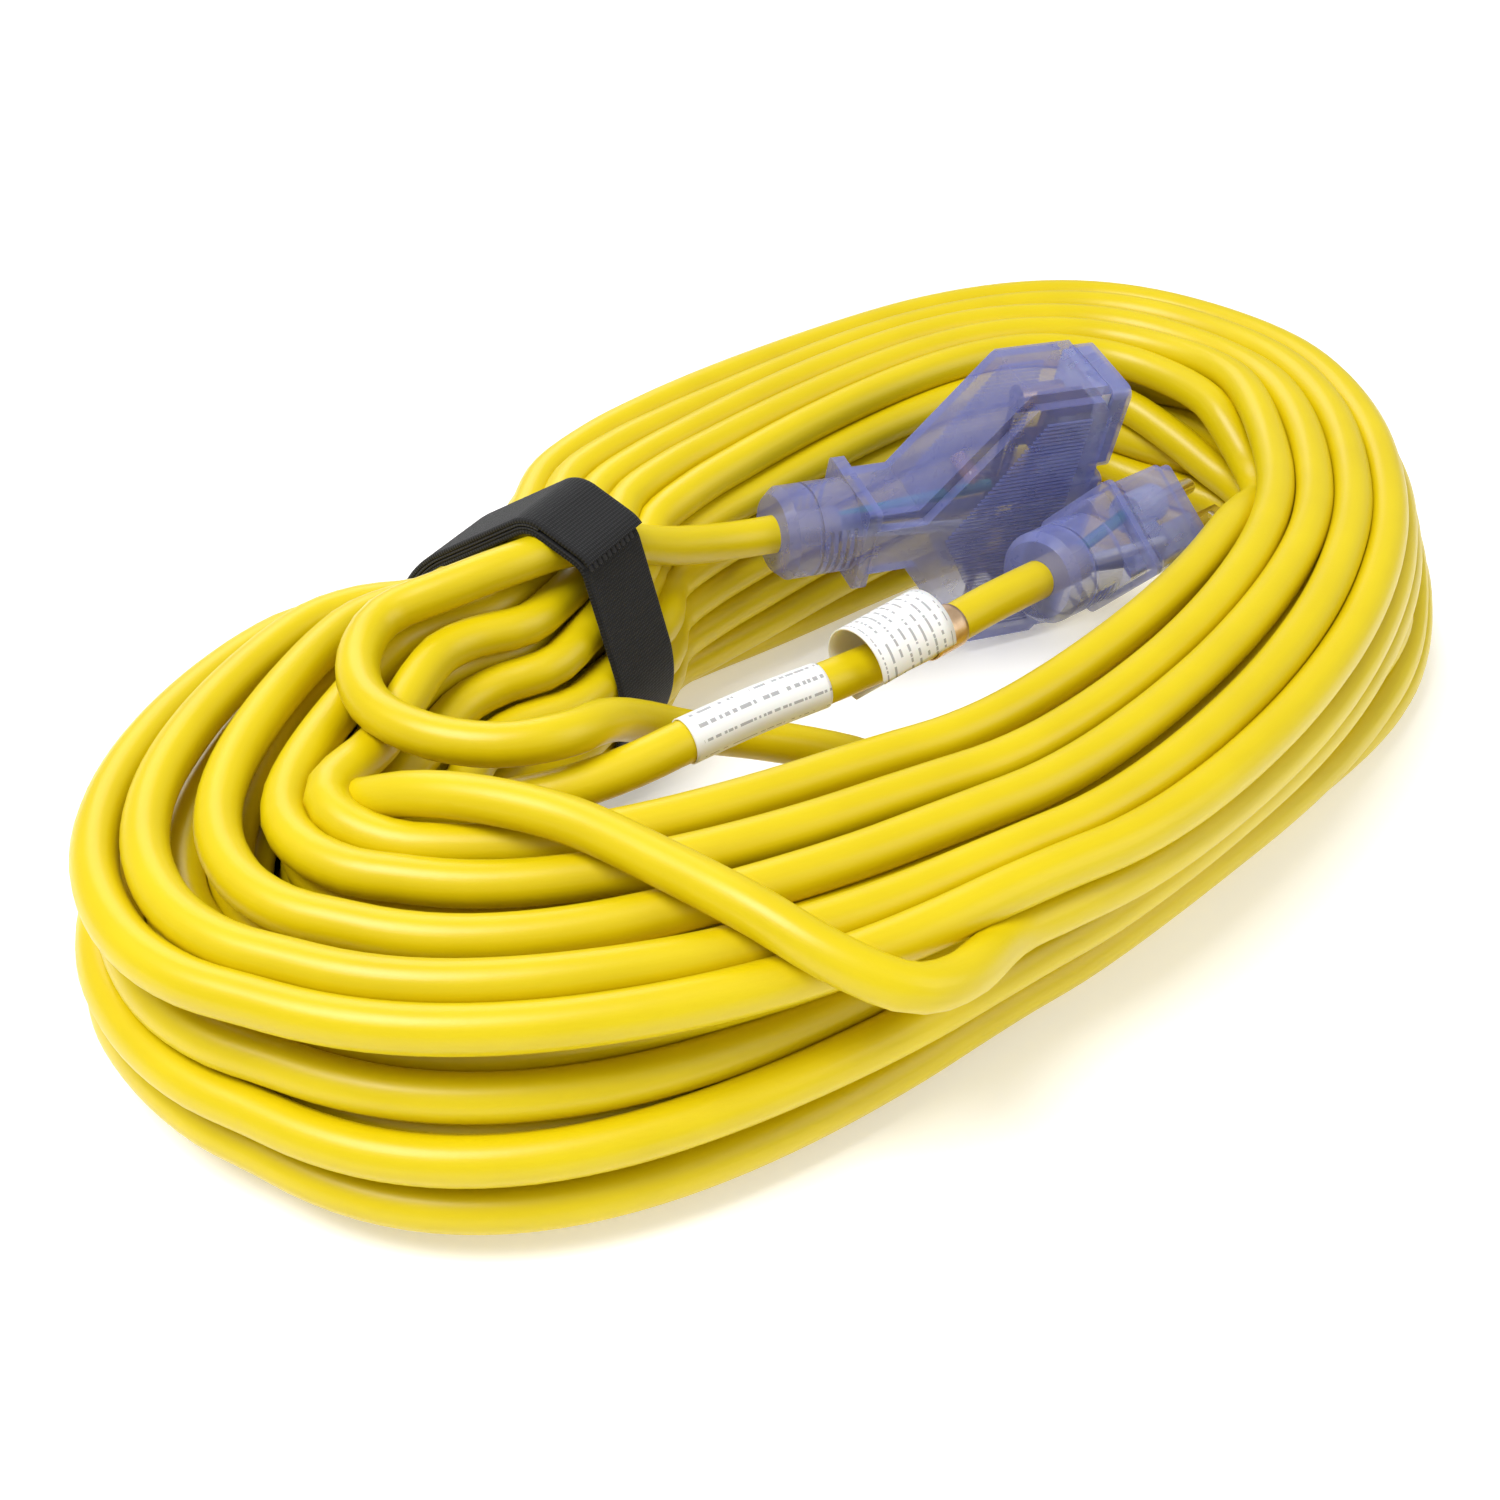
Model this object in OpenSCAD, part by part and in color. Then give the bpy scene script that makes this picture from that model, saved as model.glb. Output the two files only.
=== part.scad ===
// Three-core outdoor extension cord, coiled for storage and held by a reusable tie strap.
// A moulded grounding plug is on one end and a moulded three-outlet connector is on the other.
// +X runs along the long axis of the oval coil, +Z is up, and the coil rests on z = 0.

/* [Cord] */
// Outer diameter of the cord jacket
cord_d = 10.5; // [9:0.5:12]
// Diameter over the insulation of one core
core_d = 3.4; // [3:0.1:4]
// Length of jacket held inside each moulded end
jacket_in = 19; // [12:1:19]

/* [Coil] */
// Half the length of the coil's outer outline
coil_half_l = 211; // [200:1:230]
// Half the width of the coil's outer outline
coil_half_w = 115.5; // [108:0.5:125]
// Half the length of the hollow inside the coil
hollow_half_l = 134; // [128:1:140]
// Half the width of the hollow inside the coil
hollow_half_w = 51; // [48:0.5:54]
// Height of the loose front run of the coil
front_h = 62; // [55:1:66]
// Height of the back run of the coil
back_h = 71; // [64:1:76]
// Diameter of the back run where the strap squeezes it
squeezed_d = 66; // [60:1:70]

/* [Plug] */
// Length of the plug's round strain relief
plug_collar_l = 22; // [18:1:26]
// Diameter of the plug's strain relief
plug_collar_d = 25; // [20:1:30]
// Length of the plug's square body
plug_body_l = 40; // [36:1:50]
// Wall of the plug body round its inner mould
plug_wall = 2.7; // [2:0.1:4]
// Width of the raised rib round the back of the plug body
plug_rib_w = 2.4; // [1.6:0.2:4]

/* [Blades and ground pin] */
// Distance between the centres of the two blades
blade_gap = 12.7; // [12.2:0.1:13.2]
// Distance from the line of the blades to the ground pin
ground_gap = 11.9; // [11.4:0.1:12.4]
// Width of a blade
blade_w = 6.35; // [6:0.05:6.6]
// Thickness of a blade
blade_t = 1.5; // [1.3:0.1:1.7]
// Length of a blade beyond the plug's face
blade_l = 17.5; // [16:0.5:18.5]
// Diameter of the hole in a blade
blade_hole_d = 4; // [3:0.1:4.4]
// Diameter of the ground pin
pin_d = 4.8; // [4.6:0.05:5]
// Length of the ground pin beyond the plug's face
pin_l = 21; // [19:0.5:23]
// Diameter of the ground pin's tang, inside the mould
pin_root_d = 3.6; // [3:0.1:4.2]

/* [Connector] */
// Length of the connector's round strain relief
conn_collar_l = 21; // [18:1:26]
// Diameter of the connector's strain relief
conn_collar_d = 26; // [20:1:28]
// Length from the cord entry to the outlet faces
conn_l = 96; // [92:1:100]
// How far the connector's flat sides stand out past its outlets
head_proud = 1.5; // [0.5:0.25:3]
// Width of the square neck behind the outlets
neck_w = 21; // [18:1:26]

/* [Outlets] */
// Distance between the centres of neighbouring outlets
outlet_pitch = 30; // [30:0.5:31]
// Width of a slot
slot_t = 2.2; // [2:0.1:2.6]
// Length of the line slot
line_slot_w = 7.6; // [7:0.1:8.4]
// Length of the neutral slot
neutral_slot_w = 9; // [8.5:0.1:9.6]
// Diameter of a ground hole
ground_hole_d = 5.6; // [5.2:0.1:6]
// Depth of an outlet's insulating insert
insert_l = 9; // [8:0.5:12]
// Rim of an insert round its slots and ground hole
insert_rim = 1.4; // [1:0.1:2]
// Wall of the connector round an insert
outlet_wall = 1.5; // [1:0.1:2.5]

/* [Strap] */
// Width of the strap
strap_w = 25; // [20:1:32]
// Thickness of the strap's webbing
strap_t = 1.4; // [1:0.1:2]
// Thickness of the hook tape and of the loop tape
tape_t = 0.6; // [0.4:0.1:0.9]
// Gap between the hook tape and the loop tape
tape_gap = 0.3; // [0.2:0.05:0.5]

/* [Labels] */
// Thickness of a paper label
label_t = 0.4; // [0.3:0.1:0.6]
// Radius of the label's loose curled end
curl_r = 10; // [8:0.5:12]
// Width of the label's loose curled end
curl_w = 24; // [18:1:28]

/* [Hidden] */

jacket = "#e4d214";
clear_blue = "#5a62b4";
cord_r = cord_d / 2;
tube_sides = 12;

// The free cord's routes: each point is on the cord's centre line
connector_route = [
    [29.6, 38.1, 51.6], [12.5, 45, 53], [-1, 49.5, 54.5], [-20, 52, 60], [-37, 53, 67.5], [-54, 54, 73],
    [-70, 56, 74], [-86, 61, 72], [-102, 66, 69], [-116, 58, 67], [-125, 42, 66.5], [-124, 25, 66],
    [-115, 10, 65.5], [-101, 2, 65], [-87, 4, 61], [-73, 7, 52], [-58, 6, 42], [-40, -2, 34],
    [-24, -16, 28], [-10, -36, 26]
];
crossing_route = [
    [-126, 54, 42], [-138, 38, 48], [-141, 24, 57], [-137, 10, 64], [-130, -5, 66.5], [-122, -24, 66.5],
    [-118, -48, 66], [-115, -70, 65], [-111, -88, 61], [-103, -101, 56], [-89, -104, 52], [-70, -108, 50]
];
plug_route = [
    [-132, 32, 44], [-125, 18, 48], [-114, 6, 51.5], [-101, -2, 53], [-88, -7, 54.5], [-76, -10, 56],
    [-56, -14, 57], [-38, -18.5, 57.5], [-22, -22, 58], [-6, -24, 58], [4, -24.3, 57.7], [20, -24, 56.8],
    [41, -23.5, 54.5], [59, -23.2, 52.3]
];

// Places of the two moulded ends: the cord's entry point, then the turn about X, Y and Z
plug_at = [41, -23.5, 54.5];
plug_turn = [-47, 7, 1];
conn_at = [12.5, 45, 53];
conn_turn = [102, 4, -22];

// Coil: outlines of its hollow, of its top edge and of its foot, then the place the strap squeezes
hollow_at = [12, 8];
back_half_w = coil_half_w + 2.5;
bow = 20;
foot_half = [coil_half_l - 6, coil_half_w - 13.5];
foot_y = 3;
foot_slant = 0.075;
inner_spread = 10;
middle_half = [coil_half_l - 43, coil_half_w - 35.5];
middle_at = [4, 6];
high_at = 50;
stations = 72;
section_points = 16;
squeeze_at = [-54, 68];
squeeze_reach = 32;

// Strap: turned to lie square across the back run
strap_turn = 15;
bundle_r = squeezed_d / 2 + 0.4;
lead_in_strap = [[-19, 69.5], [-9, 74]];
seam_angle = 140;
tab_end_angle = -30;
arc_step = 5;

// Plug, along its own axis from the cord entry
plug_l = plug_collar_l + plug_body_l;
mould_l = 14;
mould_t = 3;
mould_edge = 1;
mould_w = blade_gap + 2 * mould_t;
mould_h = blade_w / 2 + mould_edge + ground_gap + pin_d / 2 + mould_t;
mould_mid = 0.9;
ground_z = mould_mid + mould_h / 2 - pin_d / 2 - mould_t;
blade_z = ground_z - ground_gap;
plug_body_w = mould_w + 2 * plug_wall;
plug_body_h = mould_h + 2 * plug_wall;
blade_root = 10;
pin_shoulder = 0.5;
blade_chamfer = 1.6;
hole_from_face = 11.9;
core_gap = 3.9;
plug_round = 2;

// Connector, along its own axis from the cord entry
flange_l = 4;
flange_w = 27;
neck_end = 38;
head_start = 64;
head_end = conn_l - 8;
passages_h = ground_hole_d / 2 + ground_gap + neutral_slot_w / 2;
outlet_ground_z = ground_hole_d / 2 - passages_h / 2;
outlet_slot_z = outlet_ground_z + ground_gap;
insert_w = outlet_pitch - 6;
insert_h = passages_h + 2 * insert_rim;
outlet_w = insert_w + 2 * outlet_wall;
outlet_h = insert_h + 2 * outlet_wall;
conn_w = 3 * outlet_pitch;
conn_t = outlet_h + 2 * head_proud;
face_corner = conn_w / 2 - 8;
contact_l = 12;
contact_t = 0.8;
bus_w = 2.4;
line_strip_z = 2.4;
neutral_strip_z = -2.4;
post_l = 4;
bus_x = conn_l - insert_l - contact_l - 2;
lamp_d = 5;
sleeve_bore = ground_hole_d + 0.8;
collar_groove = 1;

function unit(v) = v / norm(v);
function power(v, e) = sign(v) * pow(abs(v), e);
function oval(t, a, b, n) = [a * power(cos(t), 2 / n), b * power(sin(t), 2 / n)];

// ---- Cord ----

// Direction of the route at point i
function heading(route, i) =
    unit(route[min(i + 1, len(route) - 1)] - route[max(i - 1, 0)]);

// Ring of points of radius r round the route at point i
function route_ring(route, i, r) =
    let (
        ahead = heading(route, i),
        side = unit(cross(ahead, [0, 0, 1])),
        over = cross(side, ahead)
    )
    [for (k = [0 : tube_sides - 1])
        route[i] + r * (cos(360 * k / tube_sides) * side + sin(360 * k / tube_sides) * over)];

module swept_tube(route, r) {
    count = len(route);
    n = tube_sides;
    points = [for (i = [0 : count - 1]) each route_ring(route, i, r)];
    walls = [for (i = [0 : count - 2]) for (k = [0 : n - 1])
        let (m = (k + 1) % n)
        each [[i * n + k, i * n + m, (i + 1) * n + m], [i * n + k, (i + 1) * n + m, (i + 1) * n + k]]];
    start = [[for (k = [n - 1 : -1 : 0]) k]];
    end = [[for (k = [0 : n - 1]) (count - 1) * n + k]];
    polyhedron(points, concat(walls, start, end), convexity = 6);
}

// Thin sleeve round a stretch of the route, from point first to point last
module sleeve(route, first, last, inner_r, wall) {
    stretch = [for (i = [first : last]) route[i]];
    longer = [
        stretch[0] - heading(stretch, 0),
        each [for (i = [1 : len(stretch) - 2]) stretch[i]],
        stretch[len(stretch) - 1] + heading(stretch, len(stretch) - 1)
    ];
    difference() {
        swept_tube(stretch, inner_r + wall);
        swept_tube(longer, inner_r);
    }
}

module cord_connector_lead() {
    color(jacket) swept_tube(connector_route, cord_r);
}

module cord_crossing_strand() {
    color(jacket) swept_tube(crossing_route, cord_r);
}

module cord_plug_lead() {
    color(jacket) swept_tube(plug_route, cord_r);
}

// ---- Coil ----

// How far the back run is squeezed by the strap at a place x, from 0 to 1
function squeeze(x) = 1 / (1 + pow(abs(x - squeeze_at[0]) / squeeze_reach, 6));

// Value of an oval of half sizes a, b and power n at a point: negative inside, positive outside
function oval_value(x, y, a, b, n) = pow(abs(x) / a, n) + pow(abs(y) / b, n) - 1;

function top_outline(p) =
    let (y = p[1] - bow * pow(p[0] / 200, 2))
    y > 0 ? oval_value(p[0], y, coil_half_l, back_half_w, 2.2 + 0.2 * p[0] / 200)
        : oval_value(p[0], y, coil_half_l, coil_half_w, 2);

function foot_outline(p) =
    oval_value(p[0], p[1] + foot_slant * p[0] - foot_y, foot_half[0], foot_half[1], 3.3 - 0.7 * p[0] / 200);

function hollow_outline(p) =
    let (x = p[0] - hollow_at[0], y = p[1] - hollow_at[1], along = x / hollow_half_l)
    y < 0 && x < 0 ? oval_value(x, y, hollow_half_l, hollow_half_w, max(1.25, 2.4 + 2.6 * along))
        : oval_value(x, y, hollow_half_l, hollow_half_w, 2.4 + 0.9 * max(-1, min(1, along)));

function outline_value(which, p) =
    which == 0 ? top_outline(p) : which == 1 ? foot_outline(p) : hollow_outline(p);

// How far an outline is from a starting point, in the direction way
function reach(which, start, way, near = 0, far = 90, steps = 22) =
    let (mid = (near + far) / 2)
    steps == 0 ? near
        : sign(outline_value(which, start + mid * way)) == sign(outline_value(which, start))
            ? reach(which, start, way, mid, far, steps - 1)
            : reach(which, start, way, near, mid, steps - 1);

// Cross-section of the coil at angle t round it, as a ring of points
function coil_section(t) =
    let (
        start = oval(t, middle_half[0], middle_half[1], 2.3) + middle_at,
        ahead = oval(t + 0.5, middle_half[0], middle_half[1], 2.3) - oval(t - 0.5, middle_half[0], middle_half[1], 2.3),
        square = unit([ahead[1], -ahead[0]]),
        top_out = reach(0, start, square),
        foot_out = reach(1, start, square),
        hollow_in = reach(2, start, -square),
        middle = start + (top_out - hollow_in) / 2 * square,
        s = sin(t) > 0 ? squeeze(middle[0]) : 0,
        waist = [middle[0], squeeze_at[1] + (middle[0] - squeeze_at[0]) * tan(strap_turn)],
        centre = (1 - s) * middle + s * waist,
        out = unit((1 - s) * square + s * [-sin(strap_turn), cos(strap_turn)]),
        half = (1 - s) * (top_out + hollow_in) / 2 + s * squeezed_d / 2,
        open_top = front_h + (back_h - front_h) * (1 + cos(t - high_at)) / 2,
        base = s * (strap_t + 0.3),
        top = (1 - s) * open_top + s * (squeezed_d + strap_t + 0.3),
        lean = (1 - s) * (foot_out - top_out),
        e = (1 - s) * 6 + s * 2,
        half_h = (top - base) / 2 / oval(90 - 180 / section_points, 1, 1, e)[1]
    )
    [for (k = [0 : section_points - 1])
        let (
            p = oval(360 * (k + 0.5) / section_points, half, half_h, e),
            low = 1 - (p[1] / half_h + 1) / 2,
            spread = max(0, -sin(t)) * inner_spread * low * low * (1 - p[0] / half) / 2,
            u = p[0] + lean * low * (0.25 * p[0] / half + 0.75) - spread
        )
        [each (centre + u * out), (top + base) / 2 + p[1]]];

module cord_coil() {
    n = section_points;
    points = [for (i = [0 : stations - 1]) each coil_section(360 * i / stations)];
    faces = [for (i = [0 : stations - 1]) for (k = [0 : n - 1])
        let (j = (i + 1) % stations, m = (k + 1) % n)
        each [[i * n + k, i * n + m, j * n + m], [i * n + k, j * n + m, j * n + k]]];
    color(jacket) polyhedron(points, faces, convexity = 6);
}

// ---- Plug ----

module on_plug() {
    translate(plug_at) rotate(plug_turn) children();
}

module along_x(d, l, at = 0) {
    translate([at, 0, 0]) rotate([0, 90, 0]) cylinder(d = d, h = l, $fn = 64);
}

module rounded_slab(x, y, z, r) {
    translate([-x / 2, 0, 0]) rotate([0, 90, 0]) linear_extrude(x) hull()
        for (sy = [-1, 1]) for (sz = [-1, 1])
            translate([sz * (z / 2 - r), sy * (y / 2 - r)]) circle(r, $fn = 32);
}

// Round strain relief: a dome, a ring groove and rows of short slots
module strain_relief(d, l, bend_slots) {
    groove_x = l * 0.42;
    slot_pitch = (l - groove_x) / (bend_slots + 1);
    difference() {
        union() {
            rotate([0, 90, 0]) cylinder(d1 = d - 4, d2 = d, h = 2.5, $fn = 64);
            along_x(d, l - 2.5, 2.5);
        }
        translate([groove_x, 0, 0]) rotate([0, 90, 0]) difference() {
            cylinder(d = d + 2, h = collar_groove, $fn = 64);
            translate([0, 0, -1]) cylinder(d = d - 1.6, h = collar_groove + 2, $fn = 64);
        }
        for (k = [1 : bend_slots]) for (side = [-1, 1])
            translate([groove_x + k * slot_pitch, -d * 0.36, side > 0 ? d / 2 - 2.2 : -d / 2 - 1])
                cube([1.2, d * 0.72, 3.2]);
    }
}

// Where each of the plug's three cores runs, from the jacket's end to its terminal
module core(from, to) {
    run = to - from;
    translate(from)
        rotate([0, acos(run[2] / norm(run)), atan2(run[1], run[0])])
            cylinder(d = core_d, h = norm(run), $fn = 32);
}

plug_terminal_x = plug_l - mould_l;
plug_core_ends = [
    [[jacket_in, core_gap / 2, -1.2], [plug_terminal_x, blade_gap / 2, blade_z]],
    [[jacket_in, -core_gap / 2, -1.2], [plug_terminal_x, -blade_gap / 2, blade_z]],
    [[jacket_in, 0, 2.4], [plug_terminal_x, 0, ground_z]]
];

module plug_core(which) {
    core(plug_core_ends[which][0], plug_core_ends[which][1]);
}

module plug_line_core() {
    color("#1d1d1f") on_plug() plug_core(0);
}

module plug_neutral_core() {
    color("#e9e9e6") on_plug() plug_core(1);
}

module plug_ground_core() {
    color("#1f8a4c") on_plug() plug_core(2);
}

// One blade: a strip with a chamfered tip and a hole, rooted in the inner mould
module blade_shape() {
    reach = plug_l + blade_l;
    root = plug_l - blade_root;
    rotate([90, 0, 0]) translate([0, 0, -blade_t / 2]) linear_extrude(blade_t) difference() {
        polygon([
            [root, -blade_w / 2], [reach - blade_chamfer, -blade_w / 2], [reach, -blade_w / 2 + blade_chamfer],
            [reach, blade_w / 2 - blade_chamfer], [reach - blade_chamfer, blade_w / 2], [root, blade_w / 2]
        ]);
        translate([plug_l + hole_from_face, 0]) circle(d = blade_hole_d, $fn = 32);
    }
}

module blade(side) {
    translate([0, side * blade_gap / 2, blade_z]) blade_shape();
}

module plug_line_blade() {
    color("#d9d2bd") on_plug() blade(1);
}

module plug_neutral_blade() {
    color("#d9d2bd") on_plug() blade(-1);
}

module ground_pin_shape() {
    translate([0, 0, ground_z]) {
        along_x(pin_root_d, blade_root + 1, plug_l - blade_root);
        along_x(pin_d, pin_l - pin_d / 2 - pin_shoulder, plug_l + pin_shoulder);
        translate([plug_l + pin_l - pin_d / 2, 0, 0]) sphere(d = pin_d, $fn = 32);
    }
}

module plug_ground_pin() {
    color("#d9d2bd") on_plug() ground_pin_shape();
}

// Stiff insulating block that holds the blades and the pin before the body is moulded round it
module mould_shape() {
    translate([plug_l - mould_l, 0, 0]) {
        translate([0, -mould_w / 2, blade_z - blade_w / 2 - mould_edge])
            cube([mould_l, mould_w, blade_w + 2 * mould_edge]);
        translate([0, 0, ground_z]) along_x(pin_d + 2 * mould_t, mould_l);
        translate([0, -mould_t, blade_z]) cube([mould_l / 2, 2 * mould_t, ground_gap]);
    }
}

module plug_inner_mould() {
    color("#dcdce6") on_plug() difference() {
        mould_shape();
        for (side = [-1, 1]) blade(side);
        ground_pin_shape();
        for (which = [0 : 2]) plug_core(which);
    }
}

module plug_body() {
    body_x = plug_collar_l + plug_body_l / 2;
    color(clear_blue, 0.7) on_plug() difference() {
        union() {
            strain_relief(plug_collar_d, plug_collar_l, 4);
            translate([body_x, 0, mould_mid])
                rounded_slab(plug_body_l, plug_body_w - 2, plug_body_h - 2, plug_round);
            translate([plug_collar_l + 9, 0, mould_mid])
                rounded_slab(plug_rib_w, plug_body_w + 3, plug_body_h + 2, plug_round);
            translate([plug_collar_l + 24, 0, mould_mid])
                rounded_slab(plug_body_l - 20, plug_body_w, plug_body_h, plug_round);
        }
        along_x(cord_d + 0.1, jacket_in + 1, -1);
        mould_shape();
        for (which = [0 : 2]) plug_core(which);
    }
}

// ---- Connector ----

module on_connector() {
    translate(conn_at) rotate(conn_turn) children();
}

// Outline of the connector seen square to its flat side, from the flange to the outlet faces
module head_outline() {
    half = conn_w / 2;
    neck = neck_w / 2;
    upper = [
        [conn_collar_l, neck], [neck_end, neck], [head_start, half], [head_end, half],
        [conn_l - 2.5, face_corner]
    ];
    polygon(concat(upper, [for (i = [len(upper) - 1 : -1 : 0]) [upper[i][0], -upper[i][1]]]));
}

module head_solid() {
    border = 3;
    translate([0, 0, -conn_t / 2 + border]) linear_extrude(conn_t - 2 * border) head_outline();
    translate([0, 0, -conn_t / 2]) linear_extrude(conn_t) offset(delta = -border) head_outline();
}

module outlet_places() {
    for (k = [-1 : 1]) translate([0, k * outlet_pitch, 0]) children();
}

module insert_blank() {
    translate([conn_l - insert_l, -insert_w / 2, -insert_h / 2]) cube([insert_l, insert_w, insert_h]);
}

// Two slots of one outlet, cut from the face inward
module outlet_slots(depth) {
    translate([conn_l - depth, blade_gap / 2 - slot_t / 2, outlet_slot_z - line_slot_w / 2])
        cube([depth + 1, slot_t, line_slot_w]);
    translate([conn_l - depth, -blade_gap / 2 - slot_t / 2, outlet_slot_z - neutral_slot_w / 2])
        cube([depth + 1, slot_t, neutral_slot_w]);
}

module outlet_insert() {
    difference() {
        insert_blank();
        outlet_slots(insert_l + 1);
        translate([0, 0, outlet_ground_z]) along_x(ground_hole_d, insert_l + 2, conn_l - insert_l - 1);
    }
}

module outlet_insert_upper() {
    color("#d6d8e6") on_connector() translate([0, outlet_pitch, 0]) outlet_insert();
}

module outlet_insert_middle() {
    color("#d6d8e6") on_connector() outlet_insert();
}

module outlet_insert_lower() {
    color("#d6d8e6") on_connector() translate([0, -outlet_pitch, 0]) outlet_insert();
}

// Spring contact behind a slot: two leaves with room for a blade between them
module contact_pair(w) {
    for (side = [-1, 1])
        translate([bus_x + 1, side * (slot_t / 2 + contact_t / 2) - contact_t / 2, -w / 2])
            cube([contact_l + 1, contact_t, w]);
    translate([bus_x, -slot_t / 2 - contact_t, -w / 2]) cube([1, slot_t + 2 * contact_t, w]);
}

// Strip that joins the three contacts of one bus, centred at height z and ending at x
module bus_strip(x, z) {
    translate([x - contact_t, -outlet_pitch - bus_w / 2, z - bus_w / 2])
        cube([contact_t, 2 * outlet_pitch + bus_w, bus_w]);
}

module line_bus() {
    translate([0, blade_gap / 2, outlet_slot_z]) {
        outlet_places() contact_pair(line_slot_w);
        bus_strip(bus_x, line_strip_z);
    }
}

// The neutral strip lies behind the line strip and reaches its contacts over short posts
module neutral_bus() {
    translate([0, -blade_gap / 2, outlet_slot_z]) {
        outlet_places() contact_pair(neutral_slot_w);
        bus_strip(bus_x - post_l, neutral_strip_z);
        outlet_places() translate([bus_x - post_l, -bus_w / 2, neutral_strip_z - bus_w / 2])
            cube([post_l, bus_w, bus_w]);
    }
}

module ground_bus() {
    translate([0, 0, outlet_ground_z]) {
        outlet_places() difference() {
            along_x(sleeve_bore + 2 * contact_t, contact_l + 2, bus_x);
            along_x(sleeve_bore, contact_l + 2, bus_x + 1);
        }
        bus_strip(bus_x, 0);
    }
}

module line_contacts() {
    color("#c9a253") on_connector() line_bus();
}

module neutral_contacts() {
    color("#c9a253") on_connector() neutral_bus();
}

module ground_contacts() {
    color("#c9a253") on_connector() ground_bus();
}

conn_core_ends = [
    [[jacket_in, core_gap / 2, 1.2], [bus_x - contact_t, blade_gap / 2, outlet_slot_z + line_strip_z]],
    [[jacket_in, -core_gap / 2, 1.2],
        [bus_x - post_l - contact_t, -blade_gap / 2, outlet_slot_z + neutral_strip_z]],
    [[jacket_in, 0, -2.4], [bus_x - contact_t, 0, outlet_ground_z]]
];

module conn_core(which) {
    core(conn_core_ends[which][0], conn_core_ends[which][1]);
}

module connector_line_core() {
    color("#1d1d1f") on_connector() conn_core(0);
}

module connector_neutral_core() {
    color("#e9e9e6") on_connector() conn_core(1);
}

module connector_ground_core() {
    color("#1f8a4c") on_connector() conn_core(2);
}

lamp_at = [bus_x - 16, 14, 0];

module lamp_shape() {
    translate(lamp_at) {
        cylinder(d = lamp_d, h = 8, center = true, $fn = 32);
        translate([0, 0, 4]) sphere(d = lamp_d, $fn = 32);
    }
}

module resistor_shape() {
    translate(lamp_at + [0, -7, -4]) rotate([90, 0, 0]) cylinder(d = 3, h = 8, center = true, $fn = 32);
}

module power_lamp() {
    color("#f2b58a") on_connector() lamp_shape();
}

module lamp_resistor() {
    color("#c8b38c") on_connector() resistor_shape();
}

module connector_body() {
    color(clear_blue, 0.7) on_connector() difference() {
        union() {
            strain_relief(conn_collar_d, conn_collar_l, 4);
            translate([conn_collar_l + flange_l / 2, 0, 0])
                rounded_slab(flange_l, flange_w, flange_w, 1.5);
            head_solid();
            outlet_places() translate([conn_l - 6, 0, 0]) translate([3, 0, 0])
                rounded_slab(6, outlet_w, outlet_h, 3);
        }
        along_x(cord_d + 0.1, jacket_in + 1, -1);
        outlet_places() insert_blank();
        outlet_places() outlet_slots(insert_l + contact_l + 1);
        line_bus();
        neutral_bus();
        ground_bus();
        outlet_places() translate([0, 0, outlet_ground_z]) along_x(sleeve_bore, contact_l + 1, bus_x + 1);
        for (which = [0 : 2]) conn_core(which);
        lamp_shape();
        resistor_shape();
    }
}

// ---- Strap ----

module on_strap() {
    translate([squeeze_at[0], squeeze_at[1], 0]) rotate([0, 0, strap_turn])
        rotate([90, 0, 90]) translate([0, 0, -strap_w / 2]) children();
}

// Circles that the strap is stretched over: the squeezed run and the lead that crosses above it
strap_over = [
    [[0, squeezed_d / 2 + strap_t + 0.3], bundle_r],
    for (at = lead_in_strap) [at, cord_r + 0.3]
];

// Point of a strap layer in direction a, a distance out from the strap's inner side
function strap_point(a, out) =
    let (
        dir = [cos(a), sin(a)],
        reach = [for (c = strap_over) c[0] * dir + c[1]],
        c = strap_over[search(max(reach), reach)[0]]
    )
    c[0] + (c[1] + out) * dir;

module strap_layer(from, to, inner, outer) {
    arc = [for (a = [from : arc_step : to]) a];
    linear_extrude(strap_w) polygon(concat(
        [for (a = arc) strap_point(a, outer)],
        [for (i = [len(arc) - 1 : -1 : 0]) strap_point(arc[i], inner)]
    ));
}

loop_top = strap_t + tape_t;
hook_base = loop_top + tape_gap;
hook_top = hook_base + tape_t;
tab_top = hook_top + strap_t;

module strap_band() {
    color("#1b1b1d") on_strap() linear_extrude(strap_w) difference() {
        polygon([for (a = [0 : arc_step : 355]) strap_point(a, strap_t)]);
        polygon([for (a = [0 : arc_step : 355]) strap_point(a, 0)]);
    }
}

module strap_loop_tape() {
    color("#232326") on_strap() strap_layer(tab_end_angle, seam_angle, strap_t, loop_top);
}

module strap_hook_tape() {
    color("#26262a") on_strap() strap_layer(tab_end_angle, seam_angle - 30, hook_base, hook_top);
}

module strap_tab() {
    color("#1b1b1d") on_strap() strap_layer(tab_end_angle, seam_angle, hook_top, tab_top);
}

// Rows of stitches that hold the end of the tab's seam to the band
module strap_stitching() {
    rows = 4;
    stitches = 7;
    margin = 2.5;
    pitch = (strap_w - 2 * margin) / stitches;
    top = strap_point(seam_angle, strap_t);
    foot = strap_point(seam_angle + 4 * arc_step, strap_t);
    slope = atan2(top[0] - foot[0], foot[1] - top[1]);
    color("#0e0e10") on_strap() for (r = [0 : rows - 1]) {
        p = top + (r + 1.5) / (rows + 3) * (foot - top);
        for (s = [0 : stitches - 1])
            translate([p[0], p[1], margin + (s + 0.15) * pitch]) rotate([0, 0, 180 - slope])
                translate([0, -0.4, 0]) cube([0.5, 0.8, pitch * 0.7]);
    }
}

// ---- Labels ----

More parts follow.
